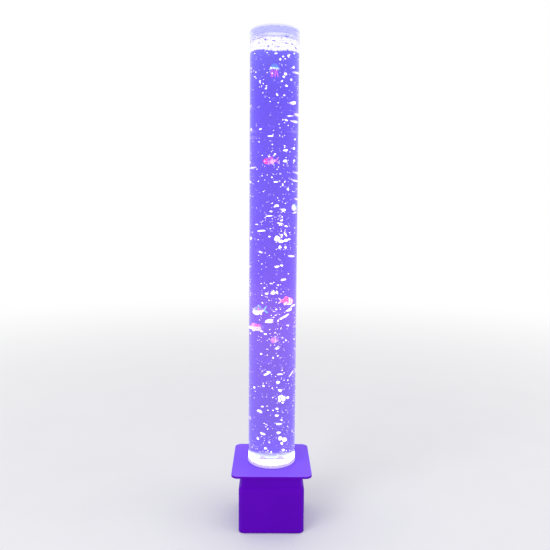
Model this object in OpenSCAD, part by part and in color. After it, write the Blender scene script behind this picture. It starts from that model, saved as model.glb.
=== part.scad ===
// Bubble tube floor lamp.
// A clear water column with drifting fish stands on a square moulded base, which holds
// the light board, the air pump and the controls. The front is -Y and the back is +Y.
// The origin is the centre of the base on the floor, with +Z up, in millimetres.

/* [Tube] */
// Outer diameter of the clear tube
tube_od = 100; // [90:1:106]
// Wall of the clear tube
tube_wall = 3; // [2:0.5:4]
// Length of the clear tube
tube_len = 884; // [860:1:1200]

/* [Tube foot] */
// Thickness of the frosted floor that closes the tube
floor_t = 4; // [4:0.5:8]
// How far the floor's collar stands out past the tube
collar_out = 1; // [0.5:0.5:2]
// Height of the rim that stands up inside the tube
spigot_h = 3; // [2:1:12]
// Wall of the rim inside the tube
spigot_wall = 2.5; // [2:0.5:3.5]
// How far the ring that locates the foot lies inside the tube's outer wall
plug_inset = 7; // [7:0.5:10]
// Wall of the locating ring
plug_wall = 3; // [2:0.5:4]
// Thickness of the flat seal under the foot
seal_t = 1; // [0.5:0.25:2]
// Distance between the two air nozzles
nozzle_pitch = 28; // [26:1:36]
// Diameter of a nozzle's threaded stem
nozzle_d = 8; // [7:0.5:9]

/* [Lid] */
// Thickness of the lid's disc
lid_t = 4; // [3:0.5:8]
// Depth of the rim that goes down into the tube
lid_rim_h = 12; // [6:1:20]
// Wall of the lid's rim
lid_rim_wall = 2.5; // [1.5:0.5:4]
// Diameter of a vent hole in the lid
vent_d = 4; // [3:0.5:6]
// Number of vent holes in the lid
vent_count = 3; // [2:1:6]

/* [Base plate] */
// Width of the square base plate
plate_w = 165; // [152:1:190]
// Thickness of the base plate
plate_t = 3.5; // [3:0.5:5]
// Corner radius of the base plate
plate_corner_r = 14; // [10:1:20]
// Depth of the plate's turned-down edge
plate_lip_h = 5.5; // [5:0.5:9]
// Thickness of the turned-down edge
plate_lip_t = 2.5; // [2:0.5:4]
// Rounding of the plate's upper edge
plate_edge_r = 1.2; // [0.5:0.1:2]

/* [Housing] */
// Width of the square housing
house_w = 136; // [132:1:140]
// Height of the housing
house_h = 126; // [122:0.5:150]
// Wall of the housing
house_wall = 2.6; // [2:0.2:3.2]
// Radius of the housing's upright corners
house_corner_r = 12; // [10:1:14]
// How far the neck is set in from the housing's sides
neck_inset = 5; // [3:0.5:5]
// Height of the neck under the plate
neck_h = 25; // [20:1:30]
// Height over which the housing slopes in to the neck
shoulder_h = 12; // [8:1:16]
// Number of vent slots in the back
slot_count = 9; // [5:1:11]
// Width of a vent slot
slot_w = 2.4; // [1.5:0.1:3]
// Height of a vent slot
slot_h = 26; // [16:1:30]

/* [Bottom] */
// Thickness of the bottom cover
cover_t = 3; // [2.5:0.5:4]
// Height of the rubber feet below the cover
rubber_h = 1.5; // [1:0.5:6]
// Diameter of a rubber foot
rubber_d = 16; // [12:1:18]
// Depth of the pocket that holds a rubber foot
rubber_pocket = 1; // [0.5:0.25:1.5]

/* [Fasteners] */
// Diameter of every screw's shank
screw_d = 3; // [2.5:0.1:3.2]
// Diameter of a pan head
head_d = 5.6; // [5.2:0.1:5.8]
// Height of a pan head
head_h = 2.2; // [1.8:0.1:2.4]
// Length of the screws that hold the tube's foot
foot_screw_len = 7; // [6.5:0.5:7.5]
// Length of the screws that hold the base plate
plate_screw_len = 10; // [7:1:11]
// Length of the screws that hold a circuit board
board_screw_len = 6; // [4:0.5:7]
// Length of the countersunk screws in the bottom cover
cover_screw_len = 12; // [8:1:20]

/* [Light board] */
// Diameter of the light board
led_board_d = 108; // [107:1:110]
// Diameter of the hole that passes the air hoses
led_board_hole = 50; // [46:1:56]
// Thickness of both circuit boards
pcb_t = 1.6; // [1:0.2:2]
// Number of lights in the ring
led_count = 12; // [6:1:16]
// Side of one light
led_w = 5; // [3.5:0.5:6]
// Radius of the ring of lights
led_ring_r = 34; // [32:1:36]

/* [Controls] */
// Sideways place of the power socket
jack_x = -18; // [-24:1:-12]
// Sideways place of the push button
button_x = 18; // [12:1:24]
// Height of the socket and the button above the housing's lower rim
controls_h = 21; // [18:1:26]
// Diameter of the power socket's barrel
jack_d = 11; // [10:0.5:12]
// Diameter of the plug's hole in the socket
socket_d = 5.5; // [5:0.5:6.5]
// Diameter of the button's cap
button_d = 12; // [8:0.5:13]
// How far the button travels
button_travel = 1.5; // [0.5:0.1:2]

/* [Air] */
// Bore of the air hose
hose_id = 4; // [3.5:0.1:4.5]
// Wall of the air hose
hose_wall = 1; // [0.8:0.1:1.5]
// Length of one hose barb
barb_len = 6; // [5:0.5:7]
// Width of the air pump
pump_w = 56; // [54:1:58]
// Length of the air pump
pump_l = 76; // [75:1:78]
// Height of the pump's tray
pump_h = 30; // [29:1:34]
// Wall of the pump's tray
pump_wall = 2; // [1.5:0.5:2.5]
// Height of the pump's rubber mounts
mount_h = 5; // [3:0.5:6]
// Gap between the poles and the magnet
air_gap = 1.5; // [1:0.25:2]

/* [Fish] */
// Overall length of the largest fish
fish_l = 30; // [24:1:32]
// Overall height of the largest fish's body
fish_h = 17; // [12:1:20]
// Thickness of the largest fish's body
fish_t = 8; // [6:0.5:9]
// Thickness of a fin
fin_t = 1.2; // [0.8:0.1:2]
// Diameter of the jellyfish's bell
jelly_d = 15; // [14:1:24]
// Height of the jellyfish's bell
jelly_h = 11; // [8:1:14]
// Length of the jellyfish's arms below the bell
jelly_arm = 15; // [10:1:20]
// Number of arms round the jellyfish
jelly_arms = 7; // [5:1:9]

/* [Hidden] */
$fn = 48;

// Clearances, each measured across one side.
fit = 0.15;          // bonded or located parts
slip = 0.25;         // the lid in the tube, the cover in the housing
hole_gap = 0.2;      // a screw in a through hole
thread_gap = 0.05;   // a screw in its own thread, a barb in its hose
run = 0.05;          // the pump's arm on its pin
seat = 0.2;          // a moving piece short of what it presses
skin = 0.5;          // a cut that runs past the face it opens

// Heights from the floor up.
cover_z = rubber_h;
cover_top = cover_z + cover_t;
plate_z = rubber_h + house_h;
plate_top = plate_z + plate_t;
floor_z = plate_top + seal_t;
floor_top = floor_z + floor_t;
tube_top = floor_top + tube_len;
shoulder_z = plate_z - neck_h;

// Widths.
tube_id = tube_od - 2 * tube_wall;
plug_od = tube_od - 2 * plug_inset;
collar_od = tube_od + 2 * collar_out;
plate_hole = plug_od + 2 * fit;
inner_w = house_w - 2 * house_wall;
neck_w = house_w - 2 * neck_inset;
neck_inner_w = neck_w - 2 * house_wall;
cover_w = inner_w - 2 * slip;
foot_screw_r = (plate_hole + collar_od) / 4 + 0.1;

// The base plate's fixings: bosses under the plate meet lugs in the housing's neck.
boss_d = screw_d + 5;
boss_h = 9;
boss_xy = neck_inner_w / 2 - 8.9;
lug_t = 3;
lug_r = 19;
lug_z = plate_z - boss_h - lug_t;
shoulder_steps = 8;
vent_gap = 4;
vent_z = shoulder_z - shoulder_h - vent_gap - slot_h / 2;
skirt_h = 6;
skirt_t = 2;
skirt_w = neck_inner_w - 2 * slip;

// The light board hangs on bosses under the plate.
led_boss_d = screw_d + 4;
led_boss_h = 6.5;
led_boss_r = 50;
led_board_z = plate_z - led_boss_h - pcb_t;
led_h = 1.6;

// The bottom cover's fixings: posts on the housing's side walls. Then its feet and grille.
post_inset = 5;
post_d = screw_d + 4;
post_x = inner_w / 2 - post_inset;
post_y = 40;
post_h = 24;
rib_t = 3;
rubber_xy = house_w / 2 - 19;
grille_y = 41;
grille_l = 18;
grille_slot = 2.4;
grille_pitch = 6;
grille_count = 9;

// Socket and button.
controls_z = rubber_h + controls_h;
flange_t = 2;
jack_len = 14;
pin_d = 2;
socket_depth = 9;
button_bore = button_d + 0.4;
switch_d = button_bore + 3.6;
switch_len = 18;
button_bore_depth = 8;
cap_out = 3.5;
cap_in = 4;
nut_t = 3;

// The pump stands so that its outlet is on the lamp's axis.
outlet_x = 20;
outlet_y = 14;
pump_x = -outlet_x;
pump_y = -outlet_y;
tray_z = cover_top + mount_h;
tray_floor = tray_z + pump_wall;
tray_top = tray_z + pump_h;
pump_cover_t = 3;
pump_cover_top = tray_top + pump_cover_t;
mount_d = 9;
mount_x = 18;
mount_y = 26;
stem_d = 4;
stem_h = 1.5;
core_w = 40;
core_leg = 8;
core_t = 12;
core_y = -34;
core_len = 28;
core_z = tray_floor + 5;
coil_wall = 4;
coil_len = 16;
pole_x = (core_w - core_leg) / 2 - 4;
pole_y = core_y + core_len;
magnet_l = 6;
magnet_w = 12;
arm_t = 3;
arm_h = 8;
arm_z = core_z + (core_t - arm_h) / 2;
pin_y = 28;
arm_pin_d = 3;
eye_d = 8;
pad_t = 1.5;
bellows_x = arm_t / 2 + pad_t + seat;
valve_x = 14;
valve_w = pump_w / 2 - pump_wall - valve_x;
valve_l = 24;
valve_h = 22;

// The control board on the bottom cover, beside the pump.
board_w = 38;
board_l = 70;
board_gap = 2;
board_x = pump_w / 2 - outlet_x + board_gap + board_w / 2;
board_y = -outlet_y;
board_dx = board_w / 2 - 4;
board_dy = board_l / 2 - 4;
plug_dy = 20;
stand_h = 6;
board_z = cover_top + stand_h;

// The air line rises on the lamp's axis: barb, hose, check valve, hose, splitter, two hoses.
// The hoses share the height between the pump and the nozzles.
hose_od = hose_id + 2 * hose_wall;
barb_d = hose_id - 2 * thread_gap;
check_h = 16;
check_d = 12;
splitter_h = 6;
splitter_w = 9;
outlet_z = pump_cover_top + 1.5;
nozzle_shoulder = floor_z - 12;
hose_len = (nozzle_shoulder - outlet_z - check_h - splitter_h) / 3;
check_z = outlet_z + hose_len;
hose2_z = check_z + check_h;
splitter_z = hose2_z + hose_len;
splitter_top = splitter_z + splitter_h;
nozzle_head_d = 13;
nozzle_head_h = 5;
nozzle_nut_t = 5;

// The leads from the control board.
lead_d = 2.4;
lead_rise = 55;
lead_end_x = 36;
lead_end_y = -20;
tag_l = 5;
tag_t = 0.8;

// Where each creature rests in the water. A lane's middle keeps off the tube's wall.
lane_x = tube_id / 2 - 23;
lane_y = tube_id / 2 - 27;
side_lane_x = tube_id / 2 - 13;
jelly_z = 946;
red_z = 767;
cyan_z = 673;
pink_z = 481;
blue_z = 461;
white_z = 419;
coral_z = 397;

// ---- shared shapes ----

// A square with round corners, centred.
module rounded_square(w, r) {
    square([w, w - 2 * r], center = true);
    square([w - 2 * r, w], center = true);
    for (x = [-1, 1], y = [-1, 1])
        translate([x * (w / 2 - r), y * (w / 2 - r)])
            circle(r);
}

// A rectangle with round corners, centred.
module rounded_rect(w, l, r) {
    square([w, l - 2 * r], center = true);
    square([w - 2 * r, l], center = true);
    for (x = [-1, 1], y = [-1, 1])
        translate([x * (w / 2 - r), y * (l / 2 - r)])
            circle(r);
}

module rounded_slab(w, r, h) {
    linear_extrude(h)
        rounded_square(w, r);
}

// Four copies, one in each corner.
module at_corners(x, y) {
    for (sx = [-1, 1], sy = [-1, 1])
        translate([sx * x, sy * y, 0])
            children();
}

// Carries an upright profile round a square: x = 0 of the profile is the corner's centre.
module square_sweep(half, h) {
    for (x = [-1, 1], y = [-1, 1])
        translate([x * half, y * half, 0])
            rotate_extrude()
                children();
    for (turn = [0, 90])
        rotate([90, 0, turn])
            linear_extrude(2 * half, center = true) {
                translate([half, 0])
                    children();
                mirror([1, 0])
                    translate([half, 0])
                        children();
                translate([-half, 0])
                    square([2 * half, h]);
            }
}

// A rectangle whose outer upper corner is rounded.
module eased_block(w, h, r) {
    square([w - r, h]);
    square([w, h - r]);
    translate([w - r, h - r])
        circle(r);
}

// A tube that stands at z = 0.
module pipe(od, id, h) {
    difference() {
        cylinder(d = od, h = h);
        translate([0, 0, -skin])
            cylinder(d = id, h = h + 2 * skin);
    }
}

// A hexagon bar across its flats.
module hex_bar(across, h) {
    cylinder(d = across / cos(30), h = h, $fn = 6);
}

// A cross slot for a driver, cut downwards from z = 0.
module cross_slot(w, depth) {
    for (turn = [0, 90])
        rotate([0, 0, turn])
            translate([-w / 2, -w / 8, -depth])
                cube([w, w / 4, depth + skin]);
}

// A pan-head screw with its head below z = 0 and its shank above.
module pan_screw(length) {
    difference() {
        union() {
            cylinder(d = screw_d, h = length);
            translate([0, 0, -head_h])
                cylinder(d1 = head_d - 1.2, d2 = head_d, h = head_h);
        }
        translate([0, 0, -head_h])
            mirror([0, 0, 1])
                cross_slot(head_d * 0.5, head_h * 0.55);
    }
}

// A hose barb that rises from z = 0: three ridges on a pipe.
module barb() {
    ridge = barb_len / 3.5;
    cylinder(d = barb_d - 0.8, h = barb_len);
    for (i = [0:2])
        translate([0, 0, barb_len - (i + 1) * ridge])
            cylinder(d1 = barb_d, d2 = barb_d - 0.8, h = ridge);
}

// Places a piece on the back wall: its z = 0 is the wall's outer face and +z is outwards.
module on_back(x) {
    translate([x, house_w / 2, controls_z])
        rotate([-90, 0, 0])
            children();
}

// ---- water column ----

module tube() {
    color([0.80, 0.84, 1.0, 0.35])
        translate([0, 0, floor_top])
            pipe(tube_od, tube_id, tube_len);
}

module foot_screw_places() {
    for (turn = [45:90:315])
        rotate([0, 0, turn])
            translate([foot_screw_r, 0, 0])
                children();
}

module nozzle_places() {
    for (side = [-1, 1])
        translate([side * nozzle_pitch / 2, 0, 0])
            children();
}

// The floor, the rim inside the tube and the ring that locates in the base plate.
module tube_foot() {
    spigot_od = tube_id - 2 * fit;
    screw_hole = foot_screw_len + plate_z - floor_z + skin / 2;
    color([0.92, 0.92, 1.0, 0.6])
        difference() {
            union() {
                translate([0, 0, floor_z])
                    cylinder(d = collar_od, h = floor_t);
                translate([0, 0, floor_top])
                    pipe(spigot_od, spigot_od - 2 * spigot_wall, spigot_h);
                translate([0, 0, plate_z])
                    pipe(plug_od, plug_od - 2 * plug_wall, floor_z - plate_z);
            }
            foot_screw_places()
                translate([0, 0, floor_z - skin])
                    cylinder(d = screw_d + 2 * thread_gap, h = screw_hole + skin);
            nozzle_places()
                translate([0, 0, floor_z - skin])
                    cylinder(d = nozzle_d + 2 * hole_gap, h = floor_t + 2 * skin);
        }
}

module foot_seal() {
    color("dimgray")
        translate([0, 0, plate_top])
            difference() {
                pipe(collar_od, plate_hole, seal_t);
                foot_screw_places()
                    translate([0, 0, -skin])
                        cylinder(d = screw_d + 2 * hole_gap, h = seal_t + 2 * skin);
            }
}

module foot_screws() {
    color("silver")
        foot_screw_places()
            translate([0, 0, plate_z])
                pan_screw(foot_screw_len);
}

// A flanged outlet in the water, a stem through the floor and a barb below it.
module air_nozzles() {
    stem_l = floor_top - nozzle_shoulder;
    color([0.75, 0.70, 0.95])
        nozzle_places()
            difference() {
                union() {
                    translate([0, 0, nozzle_shoulder])
                        cylinder(d = nozzle_d, h = stem_l);
                    translate([0, 0, floor_top])
                        cylinder(d = nozzle_head_d, h = 2);
                    translate([0, 0, floor_top])
                        cylinder(d1 = nozzle_d + 2, d2 = nozzle_d, h = nozzle_head_h);
                    translate([0, 0, nozzle_shoulder])
                        mirror([0, 0, 1])
                            barb();
                }
                translate([0, 0, nozzle_shoulder - barb_len - skin])
                    cylinder(d = 1.6, h = stem_l + barb_len + nozzle_head_h + 2 * skin);
            }
}

module nozzle_nuts() {
    color("silver")
        nozzle_places()
            translate([0, 0, floor_z - nozzle_nut_t])
                difference() {
                    hex_bar(nozzle_d + 4, nozzle_nut_t);
                    translate([0, 0, -skin])
                        cylinder(d = nozzle_d + 2 * thread_gap, h = nozzle_nut_t + 2 * skin);
                }
}

// A disc with a rim that goes down into the tube, and vent holes for the pumped air.
module lid() {
    rim_od = tube_id - 2 * slip;
    color([0.85, 0.85, 1.0, 0.5])
        translate([0, 0, tube_top])
            difference() {
                union() {
                    rotate_extrude()
                        eased_block(tube_od / 2, lid_t, 0.8);
                    translate([0, 0, -lid_rim_h])
                        pipe(rim_od, rim_od - 2 * lid_rim_wall, lid_rim_h);
                }
                for (i = [0:vent_count - 1])
                    rotate([0, 0, 90 + i * 360 / vent_count])
                        translate([tube_od * 0.3, 0, -skin])
                            cylinder(d = vent_d, h = lid_t + 2 * skin);
            }
}

// ---- base ----

module led_boss_places() {
    for (turn = [0:90:270])
        rotate([0, 0, turn])
            translate([led_boss_r, 0, 0])
                children();
}

// The square plate: turned-down edge, locating skirt and two sets of bosses below.
module top_plate() {
    lip_z = plate_top - plate_lip_h;
    lip_inner = plate_w - 2 * plate_lip_t;
    color([0.55, 0.38, 0.98])
        difference() {
            union() {
                difference() {
                    translate([0, 0, lip_z])
                        square_sweep(plate_w / 2 - plate_corner_r, plate_lip_h)
                            eased_block(plate_corner_r, plate_lip_h, plate_edge_r);
                    translate([0, 0, lip_z - skin])
                        rounded_slab(lip_inner, plate_corner_r - plate_lip_t, plate_z - lip_z + skin);
                }
                translate([0, 0, plate_z - skirt_h])
                    difference() {
                        rounded_slab(skirt_w, 4, skirt_h);
                        translate([0, 0, -skin])
                            rounded_slab(skirt_w - 2 * skirt_t, 2, skirt_h + skin);
                    }
                at_corners(boss_xy, boss_xy)
                    translate([0, 0, plate_z - boss_h])
                        cylinder(d = boss_d, h = boss_h);
                led_boss_places()
                    translate([0, 0, plate_z - led_boss_h])
                        cylinder(d = led_boss_d, h = led_boss_h);
            }
            translate([0, 0, plate_z - skin])
                cylinder(d = plate_hole, h = plate_t + 2 * skin);
            foot_screw_places()
                translate([0, 0, plate_z - skin])
                    cylinder(d = screw_d + 2 * hole_gap, h = plate_t + 2 * skin);
            at_corners(boss_xy, boss_xy)
                translate([0, 0, plate_z - boss_h - skin])
                    cylinder(d = screw_d + 2 * thread_gap, h = plate_screw_len - lug_t + 2 * skin);
            led_boss_places()
                translate([0, 0, plate_z - led_boss_h - skin])
                    cylinder(d = screw_d + 2 * thread_gap, h = board_screw_len - pcb_t + 2 * skin);
        }
}

module plate_screws() {
    color("silver")
        at_corners(boss_xy, boss_xy)
            translate([0, 0, lug_z])
                pan_screw(plate_screw_len);
}

// The outline of the housing and of its hollow, from the lower rim to the neck's top.
module housing_profile(inset) {
    r = house_corner_r - inset;
    foot = shoulder_z - shoulder_h - cover_z;
    shoulder = [for (i = [0:shoulder_steps]) let (t = i / shoulder_steps)
        [r - neck_inset * (1 - cos(180 * t)) / 2, foot + shoulder_h * t]];
    polygon(concat([[0, 0], [r, 0]], shoulder, [[r - neck_inset, house_h], [0, house_h]]));
}

// The moulded shell: lugs in the neck, posts for the cover, openings and vents in the back.
module housing() {
    half = house_w / 2 - house_corner_r;
    color([0.36, 0.03, 0.72])
        difference() {
            union() {
                translate([0, 0, cover_z])
                    difference() {
                        square_sweep(half, house_h)
                            housing_profile(0);
                        translate([0, 0, -skin])
                            square_sweep(half, house_h + 2 * skin) {
                                translate([0, skin])
                                    housing_profile(house_wall);
                                square([house_corner_r - house_wall, 2 * skin]);
                                translate([0, house_h])
                                    square([house_corner_r - house_wall - neck_inset, 2 * skin]);
                            }
                    }
                intersection() {
                    translate([0, 0, lug_z])
                        rounded_slab(neck_w - house_wall, house_corner_r - neck_inset, lug_t);
                    at_corners(neck_inner_w / 2, neck_inner_w / 2)
                        translate([0, 0, lug_z])
                            cylinder(r = lug_r, h = lug_t);
                }
                for (x = [-1, 1], y = [-1, 1])
                    translate([x * post_x, y * post_y, cover_top]) {
                        cylinder(d = post_d, h = post_h);
                        translate([x > 0 ? 0 : -post_inset - house_wall / 2, -rib_t / 2, 0])
                            cube([post_inset + house_wall / 2, rib_t, post_h]);
                    }
            }
            at_corners(boss_xy, boss_xy)
                translate([0, 0, lug_z - skin])
                    cylinder(d = screw_d + 2 * hole_gap, h = lug_t + 2 * skin);
            at_corners(post_x, post_y)
                translate([0, 0, cover_top - skin])
                    cylinder(d = screw_d + 2 * thread_gap, h = cover_screw_len - cover_t + 2 * skin);
            on_back(jack_x)
                translate([0, 0, -house_wall - skin])
                    cylinder(d = jack_d + 2 * hole_gap, h = house_wall + 2 * skin);
            on_back(button_x)
                translate([0, 0, -house_wall - skin])
                    cylinder(d = switch_d + 2 * hole_gap, h = house_wall + 2 * skin);
            for (i = [0:slot_count - 1])
                translate([(i - (slot_count - 1) / 2) * 3 * slot_w, house_w / 2, vent_z])
                    rotate([90, 0, 0])
                        linear_extrude(2 * house_wall + 2 * skin, center = true)
                            rounded_rect(slot_w, slot_h, slot_w / 2 - 0.01);
        }
}

module pump_mount_places() {
    translate([pump_x, pump_y, 0])
        at_corners(mount_x, mount_y)
            children();
}

module stand_places() {
    translate([board_x, board_y, 0])
        at_corners(board_dx, board_dy)
            children();
}

// The cover: countersunk holes, pockets for the feet, board stands and an intake grille.
module bottom_cover() {
    sink = (head_d - screw_d) / 2;
    color([0.20, 0.12, 0.30])
        difference() {
            union() {
                translate([0, 0, cover_z])
                    rounded_slab(cover_w, house_corner_r - house_wall - slip, cover_t);
                stand_places()
                    translate([0, 0, cover_top])
                        cylinder(d = screw_d + 4, h = stand_h);
            }
            at_corners(post_x, post_y)
                translate([0, 0, cover_z - skin])
                    cylinder(d = screw_d + 2 * hole_gap, h = cover_t + 2 * skin);
            at_corners(post_x, post_y)
                translate([0, 0, cover_z])
                    cylinder(d1 = head_d + 2 * hole_gap, d2 = screw_d + 2 * hole_gap, h = sink);
            at_corners(rubber_xy, rubber_xy)
                translate([0, 0, cover_z - skin])
                    cylinder(d = rubber_d + 2 * fit, h = rubber_pocket + skin);
            stand_places()
                translate([0, 0, board_z - board_screw_len + pcb_t - skin])
                    cylinder(d = screw_d + 2 * thread_gap, h = board_screw_len + 2 * skin);
            pump_mount_places()
                translate([0, 0, cover_top - stem_h - fit])
                    cylinder(d = stem_d + 2 * thread_gap, h = stem_h + fit + skin);
            for (i = [0:grille_count - 1])
                translate([(i - (grille_count - 1) / 2) * grille_pitch, grille_y, cover_z - skin])
                    linear_extrude(cover_t + 2 * skin)
                        rounded_rect(grille_slot, grille_l, grille_slot / 2 - 0.01);
        }
}

module cover_screws() {
    sink = (head_d - screw_d) / 2;
    color("silver")
        at_corners(post_x, post_y)
            translate([0, 0, cover_z])
                difference() {
                    union() {
                        cylinder(d = screw_d, h = cover_screw_len);
                        cylinder(d1 = head_d, d2 = screw_d, h = sink);
                    }
                    mirror([0, 0, 1])
                        cross_slot(head_d * 0.5, sink * 0.7);
                }
}

// Round feet with a soft lower edge, pressed into the cover's pockets.
module rubber_feet() {
    color([0.12, 0.12, 0.14])
        at_corners(rubber_xy, rubber_xy)
            translate([0, 0, rubber_h + rubber_pocket])
                mirror([0, 0, 1])
                    rotate_extrude()
                        eased_block(rubber_d / 2, rubber_h + rubber_pocket, 1);
}

// ---- light ----

module led_board() {
    color("white")
        translate([0, 0, led_board_z])
            difference() {
                pipe(led_board_d, led_board_hole, pcb_t);
                led_boss_places()
                    translate([0, 0, -skin])
                        cylinder(d = screw_d + 2 * hole_gap, h = pcb_t + 2 * skin);
            }
}

module leds() {
    color([1.0, 0.95, 0.6])
        for (i = [0:led_count - 1])
            rotate([0, 0, (i + 0.5) * 360 / led_count])
                translate([led_ring_r, 0, led_board_z + pcb_t])
                    difference() {
                        translate([-led_w / 2, -led_w / 2, 0])
                            cube([led_w, led_w, led_h]);
                        translate([0, 0, led_h * 0.6])
                            cylinder(d1 = led_w * 0.6, d2 = led_w * 0.8, h = led_h * 0.4);
                    }
}

// The same short screws hold both circuit boards.
module board_screws() {
    color("silver") {
        led_boss_places()
            translate([0, 0, led_board_z])
                pan_screw(board_screw_len);
        stand_places()
            translate([0, 0, board_z + pcb_t])
                mirror([0, 0, 1])
                    pan_screw(board_screw_len);
    }
}

// ---- controls ----

module control_board() {
    color([0.05, 0.35, 0.15])
        translate([board_x, board_y, board_z])
            difference() {
                linear_extrude(pcb_t)
                    rounded_rect(board_w, board_l, 2);
                at_corners(board_dx, board_dy)
                    translate([0, 0, -skin])
                        cylinder(d = screw_d + 2 * hole_gap, h = pcb_t + 2 * skin);
            }
}

// What is soldered to the board: plug sockets, a controller, two capacitors and a coil.
module board_parts() {
    color([0.25, 0.25, 0.28])
        translate([board_x, board_y, board_z + pcb_t]) {
            for (y = [-plug_dy, 0, plug_dy])
                translate([-board_w / 2 + 1, y - 5, 0])
                    difference() {
                        cube([6, 10, 7]);
                        translate([1, 1, 1])
                            cube([4, 8, 6 + skin]);
                    }
            translate([-3, -6, 0])
                cube([8, 12, 1.8]);
            for (y = [-24, -14])
                translate([12, y, 0])
                    cylinder(d = 8, h = 12);
            translate([12, 16, 0])
                rotate_extrude()
                    polygon([[1.5, 0], [6, 0], [6, 1], [4.5, 1.5], [4.5, 5.5], [6, 6], [6, 7], [1.5, 7]]);
        }
}

// A panel socket: flange and threaded barrel, an open mouth with its centre pin, two tags.
module dc_jack() {
    color([0.10, 0.10, 0.12])
        on_back(jack_x) {
            difference() {
                union() {
                    cylinder(d = jack_d + 3, h = flange_t);
                    translate([0, 0, -jack_len])
                        cylinder(d = jack_d, h = jack_len);
                }
                translate([0, 0, flange_t - socket_depth])
                    cylinder(d = socket_d, h = socket_depth + skin);
            }
            translate([0, 0, flange_t - socket_depth - skin])
                cylinder(d = pin_d, h = socket_depth);
            for (side = [-1, 1])
                translate([side * 2.5 - 1.2, -tag_t / 2, -jack_len - tag_l])
                    cube([2.4, tag_t, tag_l]);
        }
}

module jack_nut() {
    color("silver")
        on_back(jack_x)
            translate([0, 0, -house_wall - nut_t])
                difference() {
                    hex_bar(jack_d + 3, nut_t);
                    translate([0, 0, -skin])
                        cylinder(d = jack_d + 2 * thread_gap, h = nut_t + 2 * skin);
                }
}

// The push switch: a flanged bush that guides the cap, with two tags behind.
module button_switch() {
    color([0.14, 0.14, 0.16])
        on_back(button_x) {
            difference() {
                union() {
                    rotate_extrude()
                        eased_block(switch_d / 2 + 1.5, flange_t, 0.8);
                    translate([0, 0, -switch_len])
                        cylinder(d = switch_d, h = switch_len);
                }
                translate([0, 0, -button_bore_depth])
                    cylinder(d = button_bore, h = button_bore_depth + flange_t + skin);
            }
            for (side = [-1, 1])
                translate([side * 4 - 1.4, -tag_t / 2, -switch_len - tag_l])
                    cube([2.8, tag_t, tag_l]);
        }
}

module button_nut() {
    color("silver")
        on_back(button_x)
            translate([0, 0, -house_wall - nut_t])
                difference() {
                    hex_bar(switch_d + 3, nut_t);
                    translate([0, 0, -skin])
                        cylinder(d = switch_d + 2 * thread_gap, h = nut_t + 2 * skin);
                }
}

// The cap that a finger presses, with a short plunger behind it.
module mode_button() {
    plunger = button_bore_depth - cap_in - button_travel - seat;
    color([0.85, 0.85, 0.90])
        on_back(button_x) {
            translate([0, 0, -cap_in])
                rotate_extrude()
                    eased_block(button_d / 2, cap_in + cap_out, 1.2);
            translate([0, 0, -cap_in - plunger])
                cylinder(d = button_d / 3, h = plunger + skin);
        }
}

// ---- air pump ----

module in_pump() {
    translate([pump_x, pump_y, 0])
        children();
}

module pump_mounts() {
    color([0.15, 0.15, 0.17])
        pump_mount_places() {
            translate([0, 0, cover_top])
                cylinder(d = mount_d, h = mount_h);
            translate([0, 0, cover_top - stem_h])
                cylinder(d = stem_d, h = mount_h + 2 * stem_h);
        }
}

// The tray: rests for the core, a boss for the pin and holes for the mounts and the lead.
module pump_tray() {
    color([0.80, 0.80, 0.84])
        in_pump()
            difference() {
                union() {
                    translate([0, 0, tray_z])
                        difference() {
                            linear_extrude(pump_h)
                                rounded_rect(pump_w, pump_l, 4);
                            translate([0, 0, pump_wall])
                                linear_extrude(pump_h)
                                    rounded_rect(pump_w - 2 * pump_wall, pump_l - 2 * pump_wall, 2);
                        }
                    for (side = [-1, 1])
                        translate([side * (core_w / 2 - 4) - 3, core_y, tray_floor - skin])
                            cube([6, core_leg, core_z - tray_floor + skin]);
                    translate([0, pin_y, tray_floor - skin])
                        cylinder(d = eye_d, h = arm_z - seat - tray_floor + skin);
                }
                at_corners(mount_x, mount_y)
                    translate([0, 0, tray_z - skin])
                        cylinder(d = stem_d + 2 * thread_gap, h = stem_h + fit + skin);
                translate([0, pin_y, tray_floor + 1])
                    cylinder(d = arm_pin_d + 2 * thread_gap, h = pump_h);
            }
}

// The cover drops into the tray's mouth and holds the pin's upper end.
module pump_cover() {
    lip_w = pump_w - 2 * pump_wall - 2 * slip;
    lip_l = pump_l - 2 * pump_wall - 2 * slip;
    boss_z = arm_z + arm_h + seat;
    color([0.74, 0.74, 0.80])
        in_pump()
            difference() {
                union() {
                    translate([0, 0, tray_top])
                        linear_extrude(pump_cover_t)
                            rounded_rect(pump_w, pump_l, 4);
                    translate([0, 0, tray_top - 2])
                        difference() {
                            linear_extrude(2)
                                rounded_rect(lip_w, lip_l, 1.8);
                            translate([0, 0, -skin])
                                linear_extrude(2 + skin)
                                    rounded_rect(lip_w - 4, lip_l - 4, 1);
                        }
                    translate([0, pin_y, boss_z])
                        cylinder(d = eye_d, h = tray_top - boss_z + skin);
                }
                translate([0, pin_y, boss_z - skin])
                    cylinder(d = arm_pin_d + 2 * thread_gap, h = tray_top - boss_z + skin);
                translate([outlet_x, outlet_y, tray_top - skin])
                    cylinder(d = hose_od + 2 + 2 * slip, h = pump_cover_t + 2 * skin);
            }
}

// A stack of steel plates shaped like a U, its two poles towards the magnet.
module pump_core() {
    color([0.45, 0.45, 0.48])
        in_pump()
            translate([0, 0, core_z])
                linear_extrude(core_t) {
                    translate([-core_w / 2, core_y])
                        square([core_w, core_leg]);
                    for (side = [-1, 1])
                        translate([side * pole_x - core_leg / 2, core_y])
                            square([core_leg, core_len]);
                }
}

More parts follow.
